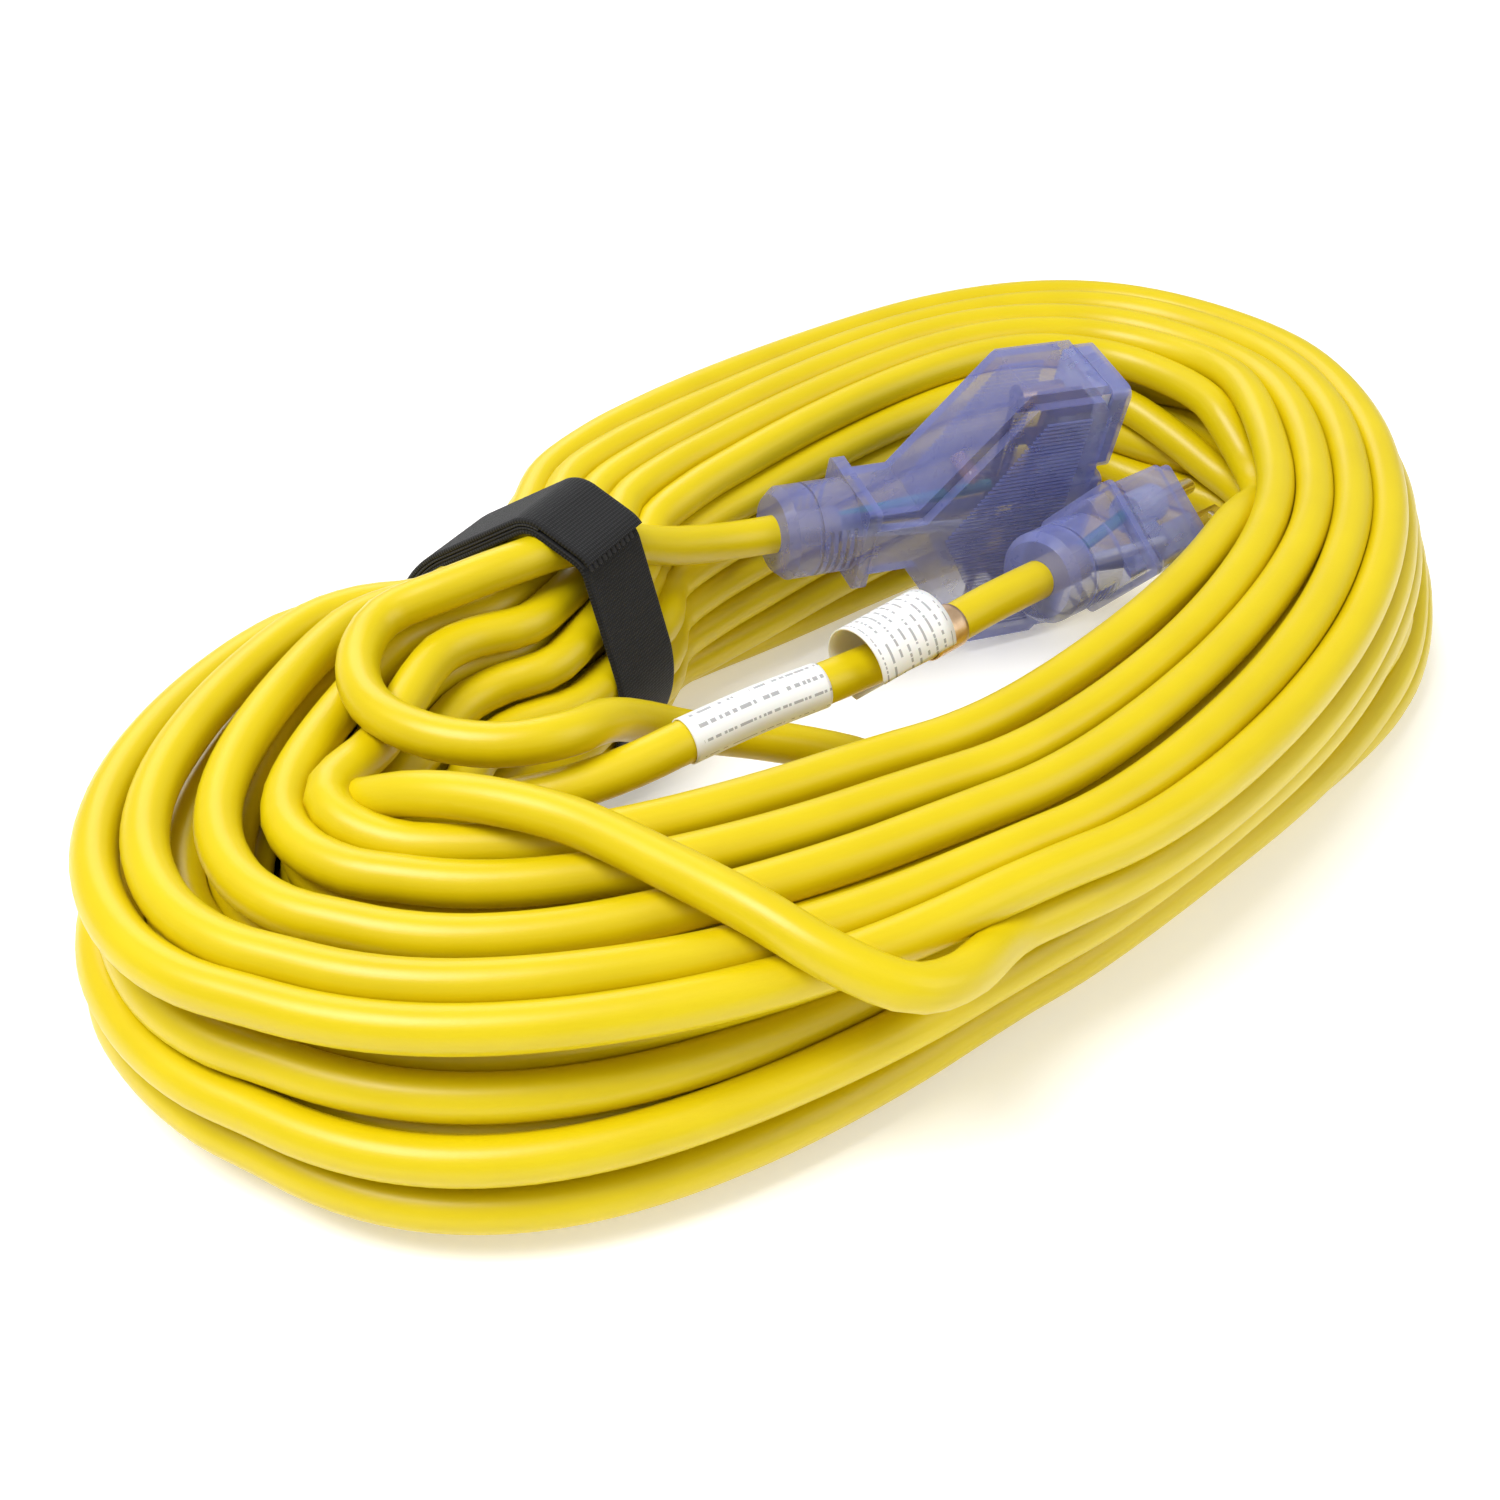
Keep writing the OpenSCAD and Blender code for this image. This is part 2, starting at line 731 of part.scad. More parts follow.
label_first = 5;
label_last = 7;

module warning_label() {
    color("white") sleeve(plug_route, label_first, label_last, cord_r + 0.1, label_t);
}

module listing_band() {
    color("#d9b27a") sleeve(plug_route, 9, 10, cord_r + 0.1, label_t);
}

// Loose end of the second label, curled in an open arc beside the cord
module label_curl() {
    inner = curl_r - label_t;
    color("white") translate([-15, -23.5, 61]) rotate([0, 86, -6]) translate([0, 0, -curl_w / 2])
        difference() {
            cylinder(r = curl_r, h = curl_w, $fn = 48);
            translate([0, 0, -1]) cylinder(r = inner, h = curl_w + 2, $fn = 48);
            translate([0, -2 * curl_r, -1]) cube([2 * curl_r, 2 * curl_r, curl_w + 2]);
        }
}

cord_coil();
cord_connector_lead();
cord_crossing_strand();
cord_plug_lead();
plug_body();
plug_inner_mould();
plug_line_blade();
plug_neutral_blade();
plug_ground_pin();
plug_line_core();
plug_neutral_core();
plug_ground_core();
connector_body();
outlet_insert_upper();
outlet_insert_middle();
outlet_insert_lower();
line_contacts();
neutral_contacts();
ground_contacts();
connector_line_core();
connector_neutral_core();
connector_ground_core();
power_lamp();
lamp_resistor();
strap_band();
strap_loop_tape();
strap_hook_tape();
strap_tab();
strap_stitching();
warning_label();
label_curl();
listing_band();
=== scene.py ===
"""Extension cord, wound in an oval coil and held by a reusable tie strap."""
import math

import bmesh
import bpy
import numpy as np
from mathutils import Euler, Matrix, Vector


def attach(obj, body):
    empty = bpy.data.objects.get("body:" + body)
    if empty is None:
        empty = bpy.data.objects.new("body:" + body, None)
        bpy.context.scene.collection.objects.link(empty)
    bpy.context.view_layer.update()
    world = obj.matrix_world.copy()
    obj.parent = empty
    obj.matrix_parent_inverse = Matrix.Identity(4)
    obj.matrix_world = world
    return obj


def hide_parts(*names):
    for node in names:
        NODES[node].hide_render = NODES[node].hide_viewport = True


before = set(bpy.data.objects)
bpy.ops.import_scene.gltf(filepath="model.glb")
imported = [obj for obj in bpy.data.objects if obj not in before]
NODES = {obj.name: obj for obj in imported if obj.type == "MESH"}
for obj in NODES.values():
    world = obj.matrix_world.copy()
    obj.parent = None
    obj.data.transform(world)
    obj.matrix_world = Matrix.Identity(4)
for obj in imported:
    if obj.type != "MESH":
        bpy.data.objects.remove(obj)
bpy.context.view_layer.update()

MM = 0.001

# ---- Sizes in millimetres, as in the part's source ----

CORD_D = 10.5
CORD_R = CORD_D / 2
STATIONS = 72
COIL_HALF = (211, 115.5)
BACK_HALF_W = 118
BOW = 20
FOOT_HALF = (205, 102)
FOOT_Y = 3
FOOT_SLANT = 0.075
MIDDLE_HALF = (168, 80)
MIDDLE_AT = np.array([4, 6])
HOLLOW_HALF = (134, 51)
HOLLOW_AT = np.array([12, 8])
INNER_SPREAD = 10
FRONT_TOP, BACK_TOP = 62, 71
HIGH_AT = math.radians(50)
SQUEEZED_D = 66
SQUEEZE_AT = np.array([-54, 68])
SQUEEZE_REACH = 32
STRAP_TURN = math.radians(15)
STRAP_W = 25
STRAP_T = 1.4
TAPE_T = 0.6
TAPE_GAP = 0.3
LEAD_IN_STRAP = [(-19, 69.5), (-9, 74)]
SEAM_ANGLE, TAB_END_ANGLE = 140, -30

CONNECTOR_AT, CONNECTOR_TURN = (12.5, 45, 53), (102, 4, -22)
CONNECTOR_FACE_Z = 14.0
RIB_COUNT, RIB_PITCH, RIB_H = 57, 1.3, 0.4
RIB_NECK, RIB_TAPER, RIB_TIP = 47.0, 0.62, 84.0
RIB_SINK = 0.05
LABEL_T = 0.4
CURL_R, CURL_W = 10, 24
CURL_AT, CURL_TURN = (-17.5, -23.2, 61), (0, 86, -6)

# Routes of the free cord: from the connector, across the front, and to the plug
CONNECTOR_ROUTE = [
    (29.6, 38.1, 51.6), (12.5, 45, 53), (-1, 49.5, 54.5), (-20, 52, 60), (-37, 53, 67.5), (-54, 54, 73),
    (-70, 56, 74), (-86, 61, 72), (-102, 66, 69), (-116, 58, 67), (-125, 42, 66.5), (-124, 25, 66),
    (-115, 10, 65.5), (-101, 2, 65), (-87, 4, 61), (-73, 7, 52), (-58, 6, 42), (-40, -2, 34),
    (-24, -16, 28), (-10, -36, 26),
]
CROSSING_ROUTE = [
    (-126, 54, 42), (-138, 38, 48), (-141, 24, 57), (-137, 10, 64), (-130, -5, 66.5), (-122, -24, 66.5),
    (-118, -48, 66), (-115, -70, 65), (-111, -88, 61), (-103, -101, 56), (-89, -104, 52), (-70, -108, 50),
]
PLUG_ROUTE = [
    (-132, 32, 44), (-125, 18, 48), (-114, 6, 51.5), (-101, -2, 53), (-88, -7, 54.5), (-76, -10, 56),
    (-56, -14, 57), (-38, -18.5, 57.5), (-22, -22, 58), (-6, -24, 58), (4, -24.3, 57.7), (20, -24, 56.8),
    (41, -23.5, 54.5), (59, -23.2, 52.3),
]


def camera():
    cam = bpy.data.objects.new("camera", bpy.data.cameras.new("camera"))
    cam.data.lens = 46.5
    cam.data.sensor_width = 36
    cam.data.clip_start = 0.01
    cam.location = (-0.327, -0.273, 0.3177)
    cam.rotation_euler = (math.radians(54), 0, math.radians(-46.1))
    bpy.context.collection.objects.link(cam)
    bpy.context.scene.camera = cam


# ---- Winding the cord ----

def oval(t, a, b, n):
    c, s = math.cos(t), math.sin(t)
    return np.array([a * math.copysign(abs(c) ** (2 / n), c), b * math.copysign(abs(s) ** (2 / n), s)])


def outline(kind, x, y):
    """Negative inside and positive outside one of the coil's three outlines."""
    if kind == "top":
        y -= BOW * (x / 200) ** 2
        half, n = ((COIL_HALF[0], BACK_HALF_W), 2.2 + 0.2 * x / 200) if y > 0 else (COIL_HALF, 2)
    elif kind == "foot":
        y += FOOT_SLANT * x - FOOT_Y
        half, n = FOOT_HALF, 3.3 - 0.7 * x / 200
    else:
        x, y = x - HOLLOW_AT[0], y - HOLLOW_AT[1]
        along = max(-1, min(1, x / HOLLOW_HALF[0]))
        half, n = HOLLOW_HALF, max(1.25, 2.4 + 2.6 * along) if x < 0 and y < 0 else 2.4 + 0.9 * along
    return (abs(x) / half[0]) ** n + (abs(y) / half[1]) ** n - 1


def reach(kind, start, way, near=0.0, far=90.0, steps=22):
    """How far from start, in direction way, an outline is."""
    side = outline(kind, *start) > 0
    for _ in range(steps):
        mid = (near + far) / 2
        if (outline(kind, *(start + mid * way)) > 0) == side:
            near = mid
        else:
            far = mid
    return near


class Section:
    """Where the bundle lies at angle t round the coil: its middle, its outward direction and its limits."""

    def __init__(self, t):
        start = oval(t, *MIDDLE_HALF, 2.3) + MIDDLE_AT
        ahead = oval(t + 0.01, *MIDDLE_HALF, 2.3) - oval(t - 0.01, *MIDDLE_HALF, 2.3)
        out = np.array([ahead[1], -ahead[0]]) / np.hypot(*ahead)
        top, foot, inner = reach("top", start, out), reach("foot", start, out), reach("hollow", start, -out)
        middle = start + (top - inner) / 2 * out
        s = 0.0
        if math.sin(t) > 0:
            s = 1 / (1 + (abs(middle[0] - SQUEEZE_AT[0]) / SQUEEZE_REACH) ** 6)
        waist = np.array([middle[0], SQUEEZE_AT[1] + (middle[0] - SQUEEZE_AT[0]) * math.tan(STRAP_TURN)])
        self.squeeze = s
        self.centre = (1 - s) * middle + s * waist
        out = (1 - s) * out + s * np.array([-math.sin(STRAP_TURN), math.cos(STRAP_TURN)])
        self.out = out / np.linalg.norm(out)
        self.half = (1 - s) * (top + inner) / 2 + s * SQUEEZED_D / 2
        open_top = FRONT_TOP + (BACK_TOP - FRONT_TOP) * (1 + math.cos(t - HIGH_AT)) / 2
        self.base = s * (STRAP_T + 0.3)
        self.top = (1 - s) * open_top + s * (SQUEEZED_D + STRAP_T + 0.3)
        self.power = (1 - s) * 8 + s * 2
        self.lean = (1 - s) * (foot - top)
        self.spread = max(0, -math.sin(t)) * INNER_SPREAD


SECTIONS = [Section(2 * math.pi * k / STATIONS) for k in range(STATIONS)]
CENTRES = np.array([s.centre for s in SECTIONS])
OUTS = np.array([s.out for s in SECTIONS])

# Places in a section, column from the hollow and layer from the floor, in the order that the cord fills them
COLUMNS, LAYERS = 6, 5
LOWER_PLACES = [
    (0, 2), (0, 1), (0, 0), (1, 0), (2, 0), (3, 0), (4, 0), (5, 0),
    (5, 1), (4, 1), (3, 1), (2, 1), (1, 1), (1, 2), (2, 2), (3, 2), (4, 2), (5, 2),
    (5, 3), (4, 3), (4, 4), (3, 4), (3, 3), (2, 3), (2, 4), (1, 4), (1, 3), (0, 3), (0, 4),
]
TOP_PLACES = [(COLUMNS - 1, LAYERS - 1)] + [(c, LAYERS) for c in range(COLUMNS - 1, -1, -1)]
TOP_TURNS = 6


def to_section(k, p):
    """A point's distance outward and its height in station k's section, and how far it is from that section."""
    v = np.array(p[:2]) - CENTRES[k]
    along = np.array([-OUTS[k][1], OUTS[k][0]])
    return v @ OUTS[k], p[2], v @ along


def nearest_station(p):
    close = [(abs(along), k) for k in range(STATIONS) for u, _, along in [to_section(k, p)] if abs(u) < 70]
    return min(close)[1]


def place_in_section(k, column, layer):
    """A place of the square grid, drawn into the section's rounded and leaning outline."""
    s = SECTIONS[k]
    across = column / (COLUMNS - 1) * 2 - 1
    up = layer / LAYERS * 2 - 1
    m = max(abs(across), abs(up), 1e-6)
    shrink = m / (abs(across) ** s.power + abs(up) ** s.power) ** (1 / s.power)
    half_h = (s.top - s.base) / 2 - CORD_R
    half = s.half - CORD_R
    u, z = across * shrink * half, (s.top + s.base) / 2 + up * shrink * half_h
    low = 1 - (up * shrink + 1) / 2
    return np.array([u + s.lean * low * (0.25 * u / half + 0.75) - s.spread * low * low * (1 - u / half) / 2, z])


def laps(start, end, turns, places):
    """Stations and wanted places of a wound length from station start to station end."""
    stations = np.arange(start, end + STATIONS * turns + 1)
    wanted = []
    for s in stations:
        f = (s - start) / (stations[-1] - start) * (len(places) - 1)
        i = min(int(f), len(places) - 2)
        here = place_in_section(s % STATIONS, *places[i])
        following = place_in_section(s % STATIONS, *places[i + 1])
        wanted.append((1 - (f - i)) * here + (f - i) * following)
    return stations, np.array(wanted)


def wander(count, rng, size, waves):
    """Slow sideways wander along a cord: a few waves of random phase."""
    s = np.arange(count) / STATIONS
    out = np.zeros((count, 2))
    for turns_per_wave in waves:
        phase = rng.uniform(0, 2 * np.pi, 2)
        out += np.sin(2 * np.pi * s[:, None] / turns_per_wave + phase)
    return out * np.array(size) / math.sqrt(len(waves))


def densify(route, step=4.0):
    points = []
    route = np.array(route, float)
    for a, b in zip(route[:-1], route[1:]):
        n = max(1, int(np.linalg.norm(b - a) / step))
        points += [a + (b - a) * i / n for i in range(n)]
    return np.array(points + [route[-1]])


JOIN_REACH = 14  # stations over which a lap leads into the free cord
SAG = 0.04  # millimetres that the laps sink in a round
PUSH_PASSES = 4
PUSH_SHARE = 0.4  # of an overlap, undone in one pass
FREE_CORD_EVERY = 4  # rounds between looks at the free cord
END_STATIONS = 5  # stations at a lap's end that may touch the free cord they lead into
SQUEEZE_SHARE = 0.06  # of the cord's width, given up under the strap


def settle(seed=4, rounds=260, final=60):
    """Winds the hidden and the top laps and lets them settle against each other, their outline and the free cord."""
    rng = np.random.default_rng(seed)
    lower_start, lower_end = nearest_station(CONNECTOR_ROUTE[-1]), nearest_station(CROSSING_ROUTE[0])
    top_start, top_end = nearest_station(CROSSING_ROUTE[-1]), nearest_station(PLUG_ROUTE[0])
    sa, ta = laps(lower_start, lower_end, len(LOWER_PLACES) - 1 + (lower_end <= lower_start), LOWER_PLACES)
    sb, tb = laps(top_start, top_end, TOP_TURNS - 1 + (top_end <= top_start), TOP_PLACES)
    stations, wanted, na = np.concatenate([sa, sb]), np.concatenate([ta, tb]), len(sa)
    n = len(stations)
    is_top = np.arange(n) >= na
    wanted[:na] += wander(na, rng, (2.4, 2.0), (0.57, 0.83, 1.7))
    wanted[na:] += wander(n - na, rng, (1.2, 0.6), (0.43, 0.9, 1.3))
    k_of = stations % STATIONS

    def at_stations(values):
        return np.array(values)[k_of]

    half = at_stations([s.half for s in SECTIONS]) - CORD_R
    base = at_stations([s.base for s in SECTIONS]) + CORD_R
    top = at_stations([s.top for s in SECTIONS]) - CORD_R
    power = at_stations([s.power for s in SECTIONS])
    lean = at_stations([s.lean for s in SECTIONS])
    spread = at_stations([s.spread for s in SECTIONS])
    centre, out = CENTRES[k_of], OUTS[k_of]
    hold = np.where(is_top, 0.10, 0.03)
    joins = ((0, CONNECTOR_ROUTE[-1]), (na - 1, CROSSING_ROUTE[0]), (na, CROSSING_ROUTE[-1]), (n - 1, PLUG_ROUTE[0]))
    for i, p in joins:
        away = np.abs(np.arange(n) - i)
        same = is_top == is_top[i]
        w = np.clip(1 - away / JOIN_REACH, 0, 1) * same
        w = (w * w * (3 - 2 * w))[:, None]
        wanted[:] = (1 - w) * wanted + w * np.array(to_section(k_of[i], p)[:2])
        hold = np.maximum(hold, np.where(same & (away < 4), 0.9 - 0.2 * away, 0))
    most = np.bincount(k_of, minlength=STATIONS).max()
    table = np.full((STATIONS, most), -1)
    filled = np.zeros(STATIONS, int)
    for s in range(n):
        table[k_of[s], filled[k_of[s]]] = s
        filled[k_of[s]] += 1
    valid = table >= 0
    pairs = valid[:, :, None] & valid[:, None, :] & ~np.eye(most, dtype=bool)
    free = np.concatenate([densify(r) for r in (CONNECTOR_ROUTE[:-2], CROSSING_ROUTE[2:-2], PLUG_ROUTE[2:])])
    gap = (CORD_D * (1 - SQUEEZE_SHARE * np.array([s.squeeze for s in SECTIONS])))[:, None, None]
    x = wanted.copy()
    coils = (slice(0, na), slice(na, n))

    def even_out(amount):
        for part in coils:
            y = x[part]
            y[1:-1] += amount * ((y[:-2] + y[2:]) / 2 - y[1:-1])

    def push_apart():
        g = x[table]
        apart = g[:, :, None, :] - g[:, None, :, :]
        dist = np.sqrt((apart ** 2).sum(-1)) + 1e-9
        push = np.where(pairs & (dist < gap), (gap - dist) / dist, 0)
        x[table[valid]] += (apart * push[..., None]).sum(2)[valid] * PUSH_SHARE

    def keep_inside():
        low = 1 - (x[:, 1] - base) / (top - base)
        slant, widen = lean * low / 4, spread * low * low / 2
        u = (x[:, 0] - 3 * slant + widen) / (1 + (slant + widen) / half) / half
        mid_z, half_z = (top + base) / 2, (top - base) / 2
        v = (x[:, 1] - mid_z) / half_z
        r = (np.abs(u) ** power + np.abs(v) ** power) ** (1 / power)
        over = r > 1
        p = u / np.maximum(r, 1) * half
        x[:, 0] = p + slant * (p / half + 3) - widen * (1 - p / half)
        x[over, 1] = mid_z[over] + v[over] / r[over] * half_z[over]

    def clear_of_free_cord():
        world = np.column_stack([centre + x[:, :1] * out, x[:, 1]])
        d = world[:, None, :] - free[None]
        dist = np.sqrt((d ** 2).sum(-1))
        j = dist.argmin(1)
        near = dist[np.arange(n), j]
        for i, _ in joins:
            near[(is_top == is_top[i]) & (np.abs(np.arange(n) - i) < END_STATIONS)] = np.inf
        hit = near < CORD_D
        v = d[np.arange(n), j][hit] / near[hit][:, None] * (CORD_D - near[hit])[:, None]
        x[hit, 0] += (v[:, :2] * out[hit]).sum(1)
        x[hit, 1] += v[:, 2]

    for step in range(rounds):
        last_rounds = step >= rounds - final
        pull = np.where(hold > 0.2, hold, 0.15 * hold) if last_rounds else hold
        x += pull[:, None] * (wanted - x)
        even_out(0.1 if last_rounds else 0.35)
        x[:, 1] -= SAG
        for _ in range(PUSH_PASSES):
            push_apart()
            keep_inside()
        if step % FREE_CORD_EVERY == FREE_CORD_EVERY - 1:
            clear_of_free_cord()
    for _ in range(5):
        even_out(0.25)
    world = np.column_stack([centre + x[:, :1] * out, x[:, 1]])
    return world[:na], world[na:]


def smooth_line(points, step):
    """Catmull-Rom curve through the points, then evenly spaced."""
    p = np.array(points, float)
    p = np.vstack([2 * p[0] - p[1], p, 2 * p[-1] - p[-2]])
    fine = []
    for a, b, c, d in zip(p[:-3], p[1:-2], p[2:-1], p[3:]):
        u = np.linspace(0, 1, 6, endpoint=False)[:, None]
        bend, twist = 2 * a - 5 * b + 4 * c - d, 3 * b - a - 3 * c + d
        fine.append(0.5 * (2 * b + (c - a) * u + bend * u ** 2 + twist * u ** 3))
    fine = np.vstack(fine + [p[-2:-1]])
    run = np.concatenate([[0], np.cumsum(np.linalg.norm(np.diff(fine, axis=0), axis=1))])
    even = np.linspace(0, run[-1], int(run[-1] / step) + 1)
    return np.column_stack([np.interp(even, run, fine[:, i]) for i in range(3)])


def wound_path():
    lower, top = settle()
    return smooth_line(np.vstack([CONNECTOR_ROUTE[:-1], lower, CROSSING_ROUTE[1:-1], top, PLUG_ROUTE[1:]]), 5.0)


# ---- Mesh helpers ----

def link(name, mesh):
    obj = bpy.data.objects.new(name, mesh)
    bpy.context.collection.objects.link(obj)
    return obj


def mesh_from(name, points, faces, uvs=None, material=None):
    """Mesh object from points in millimetres; uvs holds one pair for each face corner."""
    mesh = bpy.data.meshes.new(name)
    mesh.from_pydata((np.array(points) * MM).tolist(), [], faces)
    if uvs is not None:
        layer = mesh.uv_layers.new(name="UVMap")
        layer.data.foreach_set("uv", np.array(uvs, np.float32).ravel())
    mesh.shade_smooth()
    mesh.validate()
    obj = link(name, mesh)
    if material:
        mesh.materials.append(material)
    return obj


def carried_frames(path):
    """Directions along the path, and a side direction at each point that turns as little as it can."""
    ahead = np.gradient(path, axis=0)
    ahead /= np.linalg.norm(ahead, axis=1)[:, None]
    side = np.empty_like(path)
    side[0] = np.cross(ahead[0], (0, 0, 1))
    side[0] /= np.linalg.norm(side[0])
    for i in range(1, len(path)):
        s = side[i - 1] - ahead[i] * (side[i - 1] @ ahead[i])
        side[i] = s / np.linalg.norm(s)
    return ahead, side, np.cross(side, ahead)


def tube(name, path, radius, sides, material, wall=0.0):
    """Round tube along a path, with UVs in millimetres along it and in turns round it; a wall makes it a sleeve."""
    _, side, over = carried_frames(path)
    turn = np.arange(sides) / sides * 2 * np.pi
    spoke = np.cos(turn)[None, :, None] * side[:, None] + np.sin(turn)[None, :, None] * over[:, None]
    shells = [path[:, None] + radius * spoke]
    if wall:
        shells = [path[:, None] + (radius + wall) * spoke, path[:, None] + radius * spoke]
    n, count = sides, len(path)
    points = np.concatenate([s.reshape(-1, 3) for s in shells])
    run = np.concatenate([[0], np.cumsum(np.linalg.norm(np.diff(path, axis=0), axis=1))])
    faces, uvs = [], []
    for shell in range(len(shells)):
        base = shell * n * count
        for i in range(count - 1):
            for k in range(n):
                m = (k + 1) % n
                quad = [base + i * n + k, base + i * n + m, base + (i + 1) * n + m, base + (i + 1) * n + k]
                corner = [(run[i], k / n), (run[i], (k + 1) / n), (run[i + 1], (k + 1) / n), (run[i + 1], k / n)]
                if shell:
                    quad, corner = quad[::-1], corner[::-1]
                faces.append(quad)
                uvs += corner
    for e in (0, count - 1):
        if wall:
            for k in range(n):
                m = (k + 1) % n
                a, b = e * n + k, e * n + m
                c, d = n * count + e * n + m, n * count + e * n + k
                faces.append([a, d, c, b] if e == 0 else [a, b, c, d])
                uvs += [(run[e], 0)] * 4
        else:
            ring = [e * n + k for k in range(n)]
            faces.append(ring[::-1] if e == 0 else ring)
            uvs += [(run[e], 0)] * n
    if wall == 0:
        faces = [f[::-1] for f in faces]
        uvs_out, at = [], 0
        for f in faces:
            uvs_out += uvs[at:at + len(f)][::-1]
            at += len(f)
        uvs = uvs_out
    return mesh_from(name, points, faces, uvs, material)


def outward(obj):
    """Turns the faces of a closed mesh outwards."""
    bm = bmesh.new()
    bm.from_mesh(obj.data)
    bmesh.ops.recalc_face_normals(bm, faces=bm.faces)
    bm.to_mesh(obj.data)
    bm.free()


def plain_mesh(obj, name):
    """The object with its modifiers worked into a plain mesh, under a new name."""
    done = bpy.data.meshes.new_from_object(obj.evaluated_get(bpy.context.evaluated_depsgraph_get()))
    done.name = name
    new = link(name, done)
    bpy.data.objects.remove(obj)
    return new


def softened(node, name, width, material):
    """Copy of a CAD node with its sharp edges rounded as a mould leaves them."""
    mesh = NODES[node].data.copy()
    bm = bmesh.new()
    bm.from_mesh(mesh)
    bmesh.ops.remove_doubles(bm, verts=bm.verts, dist=2e-6)
    bmesh.ops.dissolve_limit(bm, angle_limit=math.radians(1), verts=bm.verts, edges=bm.edges)
    bmesh.ops.recalc_face_normals(bm, faces=bm.faces)
    bm.to_mesh(mesh)
    bm.free()
    mesh.shade_smooth()
    mesh.materials.clear()
    mesh.materials.append(material)
    obj = link(name + "_blank", mesh)
    bevel = obj.modifiers.new("rounded edges", "BEVEL")
    bevel.width = width * MM
    bevel.segments = 2
    bevel.limit_method = "ANGLE"
    bevel.angle_limit = math.radians(28)
    bevel.use_clamp_overlap = True
    obj.modifiers.new("even shading", "WEIGHTED_NORMAL").keep_sharp = True
    piece = plain_mesh(obj, name)
    place(piece, "cord_set", node)
    return piece


def place(piece, body, *nodes):
    """Lets a piece ride on a body and stand for its CAD nodes."""
    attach(piece, body)
    if nodes:
        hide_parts(*nodes)


# ---- Node trees ----

class Graph:
    """Adds nodes to a shader or geometry tree."""

    def __init__(self, tree):
        self.tree = tree

    def node(self, kind, settings=None, **sockets):
        """One node: its settings first, then the values or links of its sockets, named by letters and digits."""
        node = self.tree.nodes.new(kind)
        for name, value in (settings or {}).items():
            if name == "stops":
                ramp = node.color_ramp
                while len(ramp.elements) < len(value):
                    ramp.elements.new(0.5)
                for element, (at, colour) in zip(ramp.elements, value):
                    element.position = at
                    element.color = colour
            else:
                setattr(node, name, value)
        for name, value in sockets.items():
            if name[0] == "i" and name[1:].isdigit():
                socket = node.inputs[int(name[1:])]
            else:
                socket = next(s for s in node.inputs if s.name.replace(" ", "") == name and s.enabled)
            if isinstance(value, Signal):
                self.tree.links.new(value.socket, socket)
            elif isinstance(value, bpy.types.NodeSocket):
                self.tree.links.new(value, socket)
            else:
                socket.default_value = value
        return node

    def signal(self, kind, settings=None, out=0, **sockets):
        return Signal(self, self.node(kind, settings, **sockets).outputs[out])


class Signal:
    """A socket that takes part in arithmetic; each operation adds its Math node."""

    def __init__(self, graph, socket):
        self.graph, self.socket = graph, socket

    def math(self, operation, *others):
        values = {f"i{k}": v for k, v in enumerate((self, *others))}
        return self.graph.signal("ShaderNodeMath", {"operation": operation}, **values)

    def _flip(self, operation, other):
        return self.graph.signal("ShaderNodeMath", {"operation": operation}, i0=other, i1=self)

    def __add__(self, other): return self.math("ADD", other)
    def __radd__(self, other): return self.math("ADD", other)
    def __sub__(self, other): return self.math("SUBTRACT", other)
    def __rsub__(self, other): return self._flip("SUBTRACT", other)
    def __mul__(self, other): return self.math("MULTIPLY", other)
    def __rmul__(self, other): return self.math("MULTIPLY", other)
    def __truediv__(self, other): return self.math("DIVIDE", other)
    def __gt__(self, other): return self.math("GREATER_THAN", other)
    def __lt__(self, other): return self.math("LESS_THAN", other)


def surface(name, **constants):
    """A new material with a Principled shader whose constant sockets are set here; the rest is added to its graph."""
    material = bpy.data.materials.new(name)
    material.use_nodes = True
    graph = Graph(material.node_tree)
    shader = material.node_tree.nodes["Principled BSDF"]
    for socket, value in constants.items():
        label = socket.replace("_", " ")
        if label == "IOR Level":
            label = "Specular IOR Level"
        shader.inputs[label].default_value = (*value, 1) if isinstance(value, tuple) else value
    return material, graph, shader


def feed(graph, shader, socket, source):
    graph.tree.links.new(source.socket, shader.inputs[socket])


def where(graph, kind="Object"):
    return graph.signal("ShaderNodeTexCoord", out=["Generated", "Normal", "UV", "Object"].index(kind))


def noise(graph, position, scale, detail=3.0, roughness=0.5):
    return graph.signal("ShaderNodeTexNoise", Vector=position, Scale=scale, Detail=detail, Roughness=roughness)


def stretch(graph, position, scale):
    return graph.signal("ShaderNodeMapping", Vector=position, Scale=scale)


def shade(graph, factor, dark, light):
    return graph.signal("ShaderNodeMix", {"data_type": "RGBA"}, out=2, i0=factor, i6=(*dark, 1), i7=(*light, 1))


def bump(graph, height, distance, strength=1.0):
    return graph.signal("ShaderNodeBump", Strength=strength, Distance=distance * MM, Height=height)


